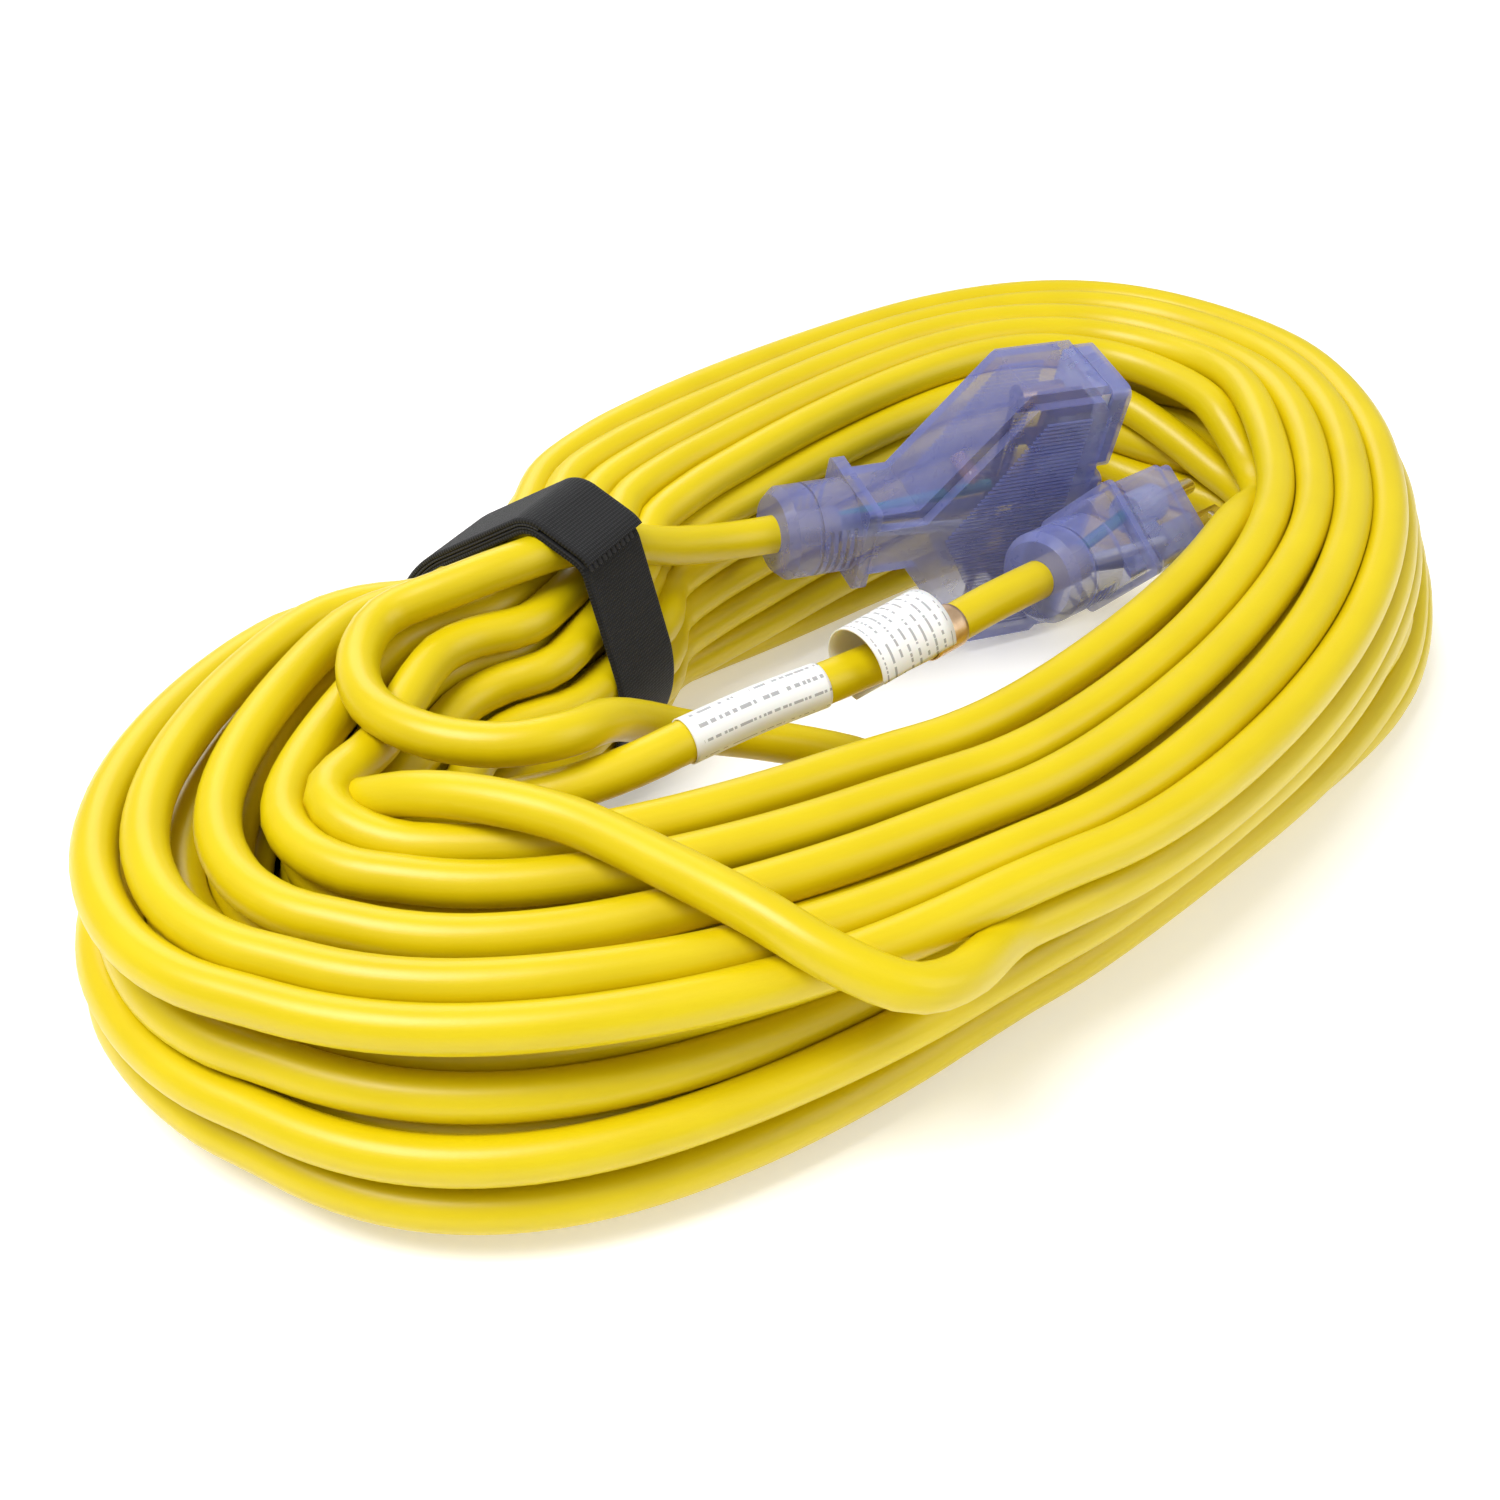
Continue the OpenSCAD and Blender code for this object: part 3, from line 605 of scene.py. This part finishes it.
def jacket_vinyl():
    """Extruded yellow vinyl: satin, a little darker where it was handled, faintly wavy along its length."""
    material, g, shader = surface("jacket_vinyl", IOR_Level=0.42, Subsurface_Weight=0.05, Subsurface_Scale=0.0015)
    shader.inputs["Subsurface Radius"].default_value = (1.0, 0.6, 0.1)
    at = where(g)
    cloud = noise(g, at, 38, 2)
    fine = noise(g, at, 900, 3, 0.6)
    along = noise(g, stretch(g, where(g, "UV"), (0.012, 9, 1)), 1.0, 4, 0.6)
    feed(g, shader, "Base Color", shade(g, cloud * 0.7 + along * 0.3, (0.60, 0.45, 0.0005), (0.75, 0.59, 0.001)))
    feed(g, shader, "Roughness", 0.27 + cloud * 0.12 + fine * 0.06)
    feed(g, shader, "Normal", bump(g, along * 0.75 + fine * 0.25, 0.16, 0.5))
    return material


def clear_vinyl():
    """Tinted see-through vinyl: a hazy skin that lets the wires and the jacket inside show, clouded by flow marks."""
    material, g, shader = surface("clear_blue_vinyl", IOR_Level=0.6, IOR=1.46, Coat_Roughness=0.1,
                                  Subsurface_Weight=0.25, Subsurface_Scale=0.004)
    shader.inputs["Subsurface Radius"].default_value = (0.4, 0.45, 1.0)
    at = where(g)
    haze = noise(g, at, 55, 3)
    streak = noise(g, stretch(g, at, (60, 240, 240)), 1.0, 2)
    feed(g, shader, "Base Color", shade(g, haze, (0.12, 0.15, 0.46), (0.30, 0.33, 0.68)))
    feed(g, shader, "Alpha", 0.36 + haze * 0.16)
    feed(g, shader, "Roughness", 0.2 + streak * 0.18)
    feed(g, shader, "Coat Weight", 0.2 + streak * 0.25)
    feed(g, shader, "Normal", bump(g, noise(g, at, 700, 2), 0.05, 0.35))
    return material


def cloudy_mould(name, low, high):
    """Stiff pale plastic with flow streaks from moulding."""
    material, g, shader = surface(name, Transmission_Weight=0.25, Subsurface_Weight=0.2, Subsurface_Scale=0.002)
    streak = noise(g, stretch(g, where(g), (90, 420, 260)), 1.0, 4, 0.65)
    feed(g, shader, "Base Color", shade(g, streak, low, high))
    feed(g, shader, "Roughness", 0.3 + streak * 0.25)
    feed(g, shader, "Normal", bump(g, streak, 0.15, 0.4))
    return material


def plated(name, dark, light, rough):
    """Stamped and plated metal with fine drawing lines."""
    material, g, shader = surface(name, Metallic=1.0)
    at = where(g)
    lines = noise(g, stretch(g, at, (200, 2600, 2600)), 1.0, 3, 0.6)
    cloud = noise(g, at, 160, 2)
    feed(g, shader, "Base Color", shade(g, cloud, dark, light))
    feed(g, shader, "Roughness", rough + lines * 0.14)
    feed(g, shader, "Normal", bump(g, lines, 0.02, 0.4))
    return material


def core_insulation(name, dark, light):
    material, g, shader = surface(name, IOR_Level=0.5)
    at = where(g)
    cloud = noise(g, at, 140, 3)
    feed(g, shader, "Base Color", shade(g, cloud, dark, light))
    feed(g, shader, "Roughness", 0.35 + cloud * 0.15)
    feed(g, shader, "Normal", bump(g, noise(g, at, 1400, 2), 0.03, 0.4))
    return material


def lamp_glass():
    material, g, shader = surface("lamp_glass", Transmission_Weight=0.7, IOR=1.5)
    glow = noise(g, where(g), 260, 2)
    feed(g, shader, "Base Color", shade(g, glow, (0.9, 0.5, 0.28), (0.95, 0.68, 0.5)))
    feed(g, shader, "Roughness", 0.08 + glow * 0.08)
    return material


def webbing(name, dark, light, fuzz=0.0):
    """Narrow woven nylon: ribs across the strap and finer yarns along it, from the piece's UVs in millimetres."""
    material, g, shader = surface(name, IOR_Level=0.35, Sheen_Weight=0.08, Sheen_Roughness=0.4)
    uv = where(g, "UV")
    parts = g.node("ShaderNodeSeparateXYZ", Vector=uv)
    along, across = Signal(g, parts.outputs[0]), Signal(g, parts.outputs[1])
    rib = (along * (2 * math.pi / 0.9)).math("SINE") * 0.5 + 0.5
    yarn = (across * (2 * math.pi / 0.7) + rib * 1.5).math("SINE") * 0.5 + 0.5
    lint = noise(g, uv, 2.5, 4, 0.7)
    weave = rib * yarn * (1 - fuzz) + lint * (0.35 + fuzz)
    feed(g, shader, "Base Color", shade(g, weave, dark, light))
    feed(g, shader, "Roughness", 0.62 + lint * 0.25)
    feed(g, shader, "Normal", bump(g, weave, 0.18, 0.9))
    return material


def printed_film(name, paper, back, bar_rows, bar_colour=(0.32, 0.32, 0.33)):
    """Plastic label film: rows of short plain bars on its outer side and a cream back."""
    material, g, shader = surface(name, IOR_Level=0.5, Subsurface_Weight=0.1, Subsurface_Scale=0.001)
    parts = g.node("ShaderNodeSeparateXYZ", Vector=where(g, "UV"))
    along, across = Signal(g, parts.outputs[0]), Signal(g, parts.outputs[1])
    row = across * bar_rows
    in_row = (row.math("FRACT") > 0.36) * (row.math("FRACT") < 0.62)
    words = noise(g, g.signal("ShaderNodeCombineXYZ", X=along * 0.9, Y=row.math("FLOOR") * 7.3), 1.0, 0)
    inside_page = (along.math("PINGPONG", 400) > 2.2) * (across < 0.94) * (across > 0.05)
    ink = in_row * (words > 0.46) * inside_page
    white = g.signal("ShaderNodeMix", {"data_type": "RGBA"}, out=2, i0=across > 1.0, i6=(*paper, 1), i7=(*back, 1))
    printed = g.signal("ShaderNodeMix", {"data_type": "RGBA"}, out=2, i0=ink * 0.85, i6=white, i7=(*bar_colour, 1))
    feed(g, shader, "Base Color", printed)
    feed(g, shader, "Roughness", 0.38 + noise(g, where(g), 200, 2) * 0.15)
    feed(g, shader, "Normal", bump(g, noise(g, where(g), 90, 2), 0.15, 0.35))
    return material


def gold_film():
    material, g, shader = surface("gold_film", Metallic=0.85)
    at = where(g)
    crease = noise(g, at, 260, 4, 0.7)
    feed(g, shader, "Base Color", shade(g, crease, (0.62, 0.36, 0.17), (0.93, 0.72, 0.5)))
    feed(g, shader, "Roughness", 0.2 + crease * 0.25)
    feed(g, shader, "Normal", bump(g, crease, 0.12, 0.7))
    return material


def studio_floor():
    material, g, shader = surface("pale_floor", IOR_Level=0.2, Emission_Color=(1, 1, 1), Emission_Strength=0.3)
    cloud = noise(g, where(g), 3, 2)
    feed(g, shader, "Base Color", shade(g, cloud, (0.86, 0.86, 0.86), (0.9, 0.9, 0.9)))
    feed(g, shader, "Roughness", 0.75 + cloud * 0.1)
    return material


# ---- The cord ----

def make_cord():
    path = wound_path()
    cord = tube("cord", path, CORD_R, 16, jacket_vinyl())
    place(cord, "cord_set", "cord_coil", "cord_connector_lead", "cord_crossing_strand", "cord_plug_lead")
    return cord, path


# ---- Plug and connector ----

def posed(at, turn):
    """Matrix of a moulded end, in millimetres, from its cord entry and its turn about X, Y and Z."""
    return Matrix.Translation(at) @ Euler([math.radians(a) for a in turn], "XYZ").to_matrix().to_4x4()


CONNECTOR = posed(CONNECTOR_AT, CONNECTOR_TURN)


def at_home(obj, frame_of):
    """Moves a mesh made in a moulded end's own millimetres to its place, in metres."""
    obj.data.transform(Matrix.Scale(MM, 4) @ frame_of)


def make_plug(vinyl, mould, nickel):
    pieces = [softened("plug_body", "plug_body_vinyl", 0.4, vinyl)]
    pieces.append(softened("plug_inner_mould", "plug_inner_block", 0.5, mould))
    for node, name in (("plug_line_blade", "line_blade"), ("plug_neutral_blade", "neutral_blade")):
        pieces.append(softened(node, name, 0.22, nickel))
    pieces.append(softened("plug_ground_pin", "ground_pin", 0.2, nickel))
    return pieces


def make_connector(vinyl, insert):
    pieces = [softened("connector_body", "connector_body_vinyl", 0.45, vinyl)]
    for which in ("upper", "middle", "lower"):
        pieces.append(softened(f"outlet_insert_{which}", f"outlet_block_{which}", 0.4, insert))
    return pieces


def rib_tree():
    """Fine ribs side by side along Y, each as long as its place on a tapering face lets it be."""
    tree = bpy.data.node_groups.new("grip ribs", "GeometryNodeTree")
    face = tree.interface
    face.new_socket("Geometry", in_out="OUTPUT", socket_type="NodeSocketGeometry")
    for name, kind in (("Count", "NodeSocketInt"), ("Pitch", "NodeSocketFloat"), ("Neck", "NodeSocketFloat"),
                       ("Taper", "NodeSocketFloat"), ("Tip", "NodeSocketFloat"), ("Height", "NodeSocketFloat"),
                       ("Finish", "NodeSocketMaterial")):
        face.new_socket(name, in_out="INPUT", socket_type=kind)
    g = Graph(tree)
    given = g.node("NodeGroupInput")
    get = {s.name: Signal(g, s) for s in given.outputs if s.name}
    line = g.node("GeometryNodeMeshLine", Count=get["Count"].socket,
                  Offset=g.signal("ShaderNodeCombineXYZ", Y=get["Pitch"]),
                  StartLocation=g.signal("ShaderNodeCombineXYZ", Y=(get["Count"] - 1) * get["Pitch"] * -0.5))
    y = Signal(g, g.node("ShaderNodeSeparateXYZ", Vector=g.node("GeometryNodeInputPosition").outputs[0]).outputs[1])
    start = get["Neck"] + y.math("ABSOLUTE") * get["Taper"]
    length = get["Tip"] - start
    moved = g.node("GeometryNodeSetPosition", Geometry=line.outputs[0],
                   Offset=g.signal("ShaderNodeCombineXYZ", X=start + length * 0.5))
    rib = g.node("GeometryNodeMeshCylinder", {"fill_type": "NGON"}, Vertices=6, Radius=1.0, Depth=1.0)
    lying = g.node("GeometryNodeTransform", Geometry=rib.outputs[0], Rotation=(0, math.pi / 2, 0))
    size = g.signal("ShaderNodeCombineXYZ", X=length, Y=get["Pitch"] * 0.32, Z=get["Height"])
    ribs = g.node("GeometryNodeInstanceOnPoints", Points=moved.outputs[0], Instance=lying.outputs[0], Scale=size)
    real = g.node("GeometryNodeRealizeInstances", Geometry=ribs.outputs[0])
    done = g.node("GeometryNodeSetMaterial", Geometry=real.outputs[0], Material=get["Finish"])
    g.node("NodeGroupOutput", Geometry=done.outputs[0])
    return tree


def grown(name, tree, **inputs):
    """Plain mesh that a geometry tree makes, its inputs set by the sockets' identifiers."""
    seed = link(name + "_seed", bpy.data.meshes.new(name + "_seed"))
    modifier = seed.modifiers.new("tree", "NODES")
    modifier.node_group = tree
    for item in tree.interface.items_tree:
        if item.in_out == "INPUT" and item.name in inputs:
            modifier[item.identifier] = inputs[item.name]
    return plain_mesh(seed, name)


def make_grip_ribs(vinyl, side):
    ribs = grown(f"grip_ribs_{'near' if side > 0 else 'far'}", rib_tree(),
                 Count=RIB_COUNT, Pitch=RIB_PITCH, Neck=RIB_NECK, Taper=RIB_TAPER, Tip=RIB_TIP, Height=RIB_H,
                 Finish=vinyl)
    ribs.data.transform(Matrix.Translation((0, 0, side * (CONNECTOR_FACE_Z - RIB_SINK))))
    at_home(ribs, CONNECTOR)
    place(ribs, "cord_set")
    return ribs


# ---- Strap ----

def strap_matrix():
    turn = Matrix.Rotation(STRAP_TURN, 4, "Z")
    upright = Euler((math.pi / 2, 0, math.pi / 2), "XYZ").to_matrix().to_4x4()
    return (Matrix.Translation((*SQUEEZE_AT, 0)) @ turn @ upright @ Matrix.Translation((0, 0, -STRAP_W / 2)))


STRAP_ROUND = [(np.array((0, SQUEEZED_D / 2 + STRAP_T + 0.3)), SQUEEZED_D / 2 + 0.4)]
STRAP_ROUND += [(np.array(at), CORD_R + 0.3) for at in LEAD_IN_STRAP]


def strap_point(degrees, out):
    """Point of a strap layer in a direction, a distance out from the strap's inner side."""
    way = np.array((math.cos(math.radians(degrees)), math.sin(math.radians(degrees))))
    centre, radius = max(STRAP_ROUND, key=lambda c: c[0] @ way + c[1])
    return centre + (radius + out) * way


def strap_layer(name, start, stop, inner, outer, material, closed=False):
    """A layer of strap, with slightly rounded long edges and UVs in millimetres along and across it."""
    angles = np.arange(start, stop + (0 if closed else 1e-6), 2.0)
    line = []
    for a, b in zip(angles, np.append(angles[1:], angles[0] + 360 if closed else angles[-1])):
        p, q = strap_point(a, 0), strap_point(b, 0)
        gap = np.hypot(*(q - p))
        more = max(1, int(gap / 2.5)) if gap > 3 else 1
        line += [(a, b, k / more) for k in range(more)]
        if not closed and a == angles[-1]:
            line = line[:-more] + [(a, a, 0.0)]
    def at(entry, out):
        a, b, w = entry
        return (1 - w) * strap_point(a, out) + w * strap_point(b, out)
    edge = 0.25 * (outer - inner)
    profile = [(inner, edge), (inner, STRAP_W - edge), (inner + edge, STRAP_W), (outer - edge, STRAP_W),
               (outer, STRAP_W - edge)]
    profile += [(outer, w) for w in np.linspace(STRAP_W - 1.4, 1.4, 6)]
    profile += [(outer, edge), (outer - edge, 0), (inner + edge, 0)]
    n = len(profile)
    run, at_run = [0.0], 0.0
    middle = [at(e, (inner + outer) / 2) for e in line]
    for p, q in zip(middle[:-1], middle[1:]):
        at_run += float(np.hypot(*(q - p)))
        run.append(at_run)
    run.append(at_run + float(np.hypot(*(middle[0] - middle[-1]))))
    points = [(*at(e, out), w) for e in line for out, w in profile]
    faces, uvs = [], []
    count = len(line)
    for i in range(count if closed else count - 1):
        j = (i + 1) % count
        for k in range(n):
            m = (k + 1) % n
            faces.append([i * n + k, j * n + k, j * n + m, i * n + m])
            v = profile[k][1], profile[m][1]
            uvs += [(run[i], v[0]), (run[i + 1], v[0]), (run[i + 1], v[1]), (run[i], v[1])]
    if not closed:
        faces += [list(range(n))[::-1], [(count - 1) * n + k for k in range(n)]]
        uvs += [(0, p[1]) for p in profile[::-1]] + [(run[count - 1], p[1]) for p in profile]
    piece = mesh_from(name, points, faces, uvs, material)
    piece.data.transform(Matrix.Scale(MM, 4) @ strap_matrix() @ Matrix.Scale(1 / MM, 4))
    outward(piece)
    return piece


def stitch_tree():
    """Rows of short stitches, row after row along X and stitch after stitch along Y."""
    tree = bpy.data.node_groups.new("stitches", "GeometryNodeTree")
    face = tree.interface
    face.new_socket("Geometry", in_out="OUTPUT", socket_type="NodeSocketGeometry")
    for name, kind in (("Rows", "NodeSocketInt"), ("Row Gap", "NodeSocketFloat"), ("Stitches", "NodeSocketInt"),
                       ("Pitch", "NodeSocketFloat"), ("Thread", "NodeSocketFloat"), ("Finish", "NodeSocketMaterial")):
        face.new_socket(name, in_out="INPUT", socket_type=kind)
    g = Graph(tree)
    given = g.node("NodeGroupInput")
    get = {s.name: Signal(g, s) for s in given.outputs if s.name}
    rows = g.node("GeometryNodeMeshLine", Count=get["Rows"].socket,
                  Offset=g.signal("ShaderNodeCombineXYZ", X=get["Row Gap"]))
    row = g.node("GeometryNodeMeshLine", Count=get["Stitches"].socket,
                 Offset=g.signal("ShaderNodeCombineXYZ", Y=get["Pitch"]))
    stitch = g.node("GeometryNodeMeshUVSphere", Segments=8, Rings=6, Radius=1.0)
    size = g.signal("ShaderNodeCombineXYZ", X=get["Thread"], Y=get["Pitch"] * 0.4, Z=get["Thread"] * 0.8)
    flat = g.node("GeometryNodeTransform", Geometry=stitch.outputs[0], Scale=size)
    one = g.node("GeometryNodeInstanceOnPoints", Points=row.outputs[0], Instance=flat.outputs[0])
    every = g.node("GeometryNodeInstanceOnPoints", Points=rows.outputs[0], Instance=one.outputs[0])
    real = g.node("GeometryNodeRealizeInstances", Geometry=every.outputs[0])
    done = g.node("GeometryNodeSetMaterial", Geometry=real.outputs[0], Material=get["Finish"])
    g.node("NodeGroupOutput", Geometry=done.outputs[0])
    return tree


def make_strap():
    woven = webbing("strap_webbing", (0.002, 0.002, 0.0025), (0.014, 0.014, 0.016))
    loops = webbing("loop_pile", (0.004, 0.004, 0.005), (0.026, 0.026, 0.028), 0.5)
    hooks = webbing("hook_tape", (0.005, 0.005, 0.006), (0.034, 0.034, 0.036), 0.3)
    loop_top = STRAP_T + TAPE_T
    hook_base = loop_top + TAPE_GAP
    hook_top = hook_base + TAPE_T
    band = strap_layer("strap_webbing", 0, 360, 0, STRAP_T, woven, closed=True)
    place(band, "cord_set", "strap_band")
    pile = strap_layer("strap_loop_pile", TAB_END_ANGLE, SEAM_ANGLE, STRAP_T, loop_top, loops)
    place(pile, "cord_set", "strap_loop_tape")
    hook = strap_layer("strap_hooks", TAB_END_ANGLE, SEAM_ANGLE - 30, hook_base, hook_top, hooks)
    place(hook, "tie_tab", "strap_hook_tape")
    tab = strap_layer("strap_pull_tab", TAB_END_ANGLE, SEAM_ANGLE, hook_top, hook_top + STRAP_T, woven)
    place(tab, "tie_tab", "strap_tab")
    thread = core_insulation("black_thread", (0.006, 0.006, 0.007), (0.02, 0.02, 0.022))
    top, foot = strap_point(SEAM_ANGLE, STRAP_T), strap_point(SEAM_ANGLE + 20, STRAP_T)
    down = (foot - top) / np.hypot(*(foot - top))
    rows = grown("strap_stitch_rows", stitch_tree(), Rows=4, **{"Row Gap": float(np.hypot(*(foot - top)) / 7)},
                 Stitches=10, Pitch=2.1, Thread=0.35, Finish=thread)
    first = top + 1.5 / 7 * (foot - top)
    axes = Matrix(((down[0], 0, -down[1], first[0]), (down[1], 0, down[0], first[1]),
                   (0, 1, 0, (STRAP_W - 9 * 2.1) / 2), (0, 0, 0, 1)))
    rows.data.transform(Matrix.Scale(MM, 4) @ strap_matrix() @ axes)
    place(rows, "cord_set", "strap_stitching")


# ---- Labels ----

def stretch_of(route, first, last, step=1.0):
    """Evenly spaced points of the cord's own curve between two points of its route."""
    whole = smooth_line(route, step)
    a = np.argmin(np.linalg.norm(whole - np.array(route[first]), axis=1))
    b = np.argmin(np.linalg.norm(whole - np.array(route[last]), axis=1))
    return whole[a:b + 1]


def make_labels():
    white = printed_film("label_film", (0.86, 0.86, 0.855), (0.86, 0.84, 0.76), 9)
    wrap = tube("label_wrap", stretch_of(PLUG_ROUTE, 5, 7), CORD_R + 0.1, 32, white, LABEL_T)
    place(wrap, "cord_set", "warning_label")
    band = tube("gold_band", stretch_of(PLUG_ROUTE, 9, 10), CORD_R + 0.1, 32, gold_film(), LABEL_T)
    place(band, "cord_set", "listing_band")
    curl = curled_film(white)
    place(curl, "cord_set", "label_curl")


def curled_film(material):
    """Loose end of a label, curled in an open arc: printed outside, plain inside."""
    across = np.linspace(-CURL_W / 2, CURL_W / 2, 9)
    turns = np.radians(np.linspace(0, 270, 55))
    points, faces, uvs = [], [], []
    for r in (CURL_R, CURL_R - LABEL_T):
        points += [(r * math.cos(a), r * math.sin(a), w) for a in turns for w in across]
    n, count = len(across), len(turns)
    for shell in (0, 1):
        for i in range(count - 1):
            for k in range(n - 1):
                base = shell * n * count
                quad = [base + i * n + k, base + (i + 1) * n + k, base + (i + 1) * n + k + 1, base + i * n + k + 1]
                u = [2.5 + turns[j] * CURL_R for j in (i, i + 1, i + 1, i)]
                v = [(across[j] / CURL_W + 0.5) * 0.98 + shell * 1.5 for j in (k, k, k + 1, k + 1)]
                corner = list(zip(u, v))
                faces.append(quad if shell == 0 else quad[::-1])
                uvs += corner if shell == 0 else corner[::-1]
    inner = n * count
    rim = [i * n for i in range(count)] + [(count - 1) * n + k for k in range(1, n)]
    rim += [i * n + n - 1 for i in range(count - 2, -1, -1)] + list(range(n - 2, 0, -1))
    for a, b in zip(rim, rim[1:] + rim[:1]):
        faces.append([a, b, inner + b, inner + a])
        uvs += [(0, 1.2)] * 4
    curl = mesh_from("label_curl_film", points, faces, uvs, material)
    placed = posed(CURL_AT, CURL_TURN)
    curl.data.transform(Matrix.Scale(MM, 4) @ placed @ Matrix.Scale(1 / MM, 4))
    outward(curl)
    return curl


def make_inner_parts():
    """Parts inside the see-through mouldings: their CAD shapes stay, with finishes of their own."""
    brass = plated("spring_brass", (0.55, 0.36, 0.13), (0.78, 0.58, 0.26), 0.22)
    black = core_insulation("black_core", (0.01, 0.01, 0.012), (0.03, 0.03, 0.034))
    white = core_insulation("white_core", (0.66, 0.66, 0.64), (0.82, 0.82, 0.8))
    green = core_insulation("green_core", (0.0, 0.20, 0.16), (0.01, 0.36, 0.28))
    lacquer = core_insulation("resistor_lacquer", (0.45, 0.34, 0.2), (0.62, 0.5, 0.32))
    finishes = {
        "line_contacts": brass, "neutral_contacts": brass, "ground_contacts": brass,
        "plug_line_core": black, "plug_neutral_core": white, "plug_ground_core": green,
        "connector_line_core": black, "connector_neutral_core": white, "connector_ground_core": green,
        "power_lamp": lamp_glass(), "lamp_resistor": lacquer,
    }
    for node, material in finishes.items():
        slots = NODES[node].data.materials
        if len(slots):
            for i in range(len(slots)):
                slots[i] = material
        else:
            slots.append(material)


# ---- Studio ----

def studio():
    floor = link("studio_floor", bpy.data.meshes.new("studio_floor"))
    bm = bmesh.new()
    bmesh.ops.create_grid(bm, x_segments=2, y_segments=2, size=8)
    bm.to_mesh(floor.data)
    bm.free()
    floor.location.z = -0.0004
    floor.data.materials.append(studio_floor())
    world = bpy.data.worlds.new("studio")
    bpy.context.scene.world = world
    world.use_nodes = True
    background = world.node_tree.nodes["Background"]
    background.inputs["Color"].default_value = (1, 1, 1, 1)
    background.inputs["Strength"].default_value = 0.45
    for name, at, size, watts in (
        ("key", (-0.7, 0.1, 1.5), 0.8, 24), ("fill", (0.7, -1.4, 0.9), 1.2, 8), ("rim", (0.6, 1.3, 1.1), 1.0, 8),
    ):
        lamp = bpy.data.objects.new(name, bpy.data.lights.new(name, "AREA"))
        lamp.data.size = size
        lamp.data.energy = watts
        lamp.location = at
        lamp.rotation_euler = (-Vector(at)).to_track_quat("-Z", "Y").to_euler()
        bpy.context.collection.objects.link(lamp)
    bpy.context.scene.view_settings.view_transform = "Standard"


camera()
cord, cord_path = make_cord()
vinyl = clear_vinyl()
pale = cloudy_mould("cloudy_mould", (0.5, 0.52, 0.72), (0.84, 0.85, 0.93))
nickel = plated("nickel_plate", (0.60, 0.53, 0.42), (0.80, 0.74, 0.64), 0.18)
plug_pieces = make_plug(vinyl, pale, nickel)
make_connector(vinyl, pale)
make_grip_ribs(vinyl, 1)
make_grip_ribs(vinyl, -1)
make_inner_parts()
make_strap()
make_labels()
studio()
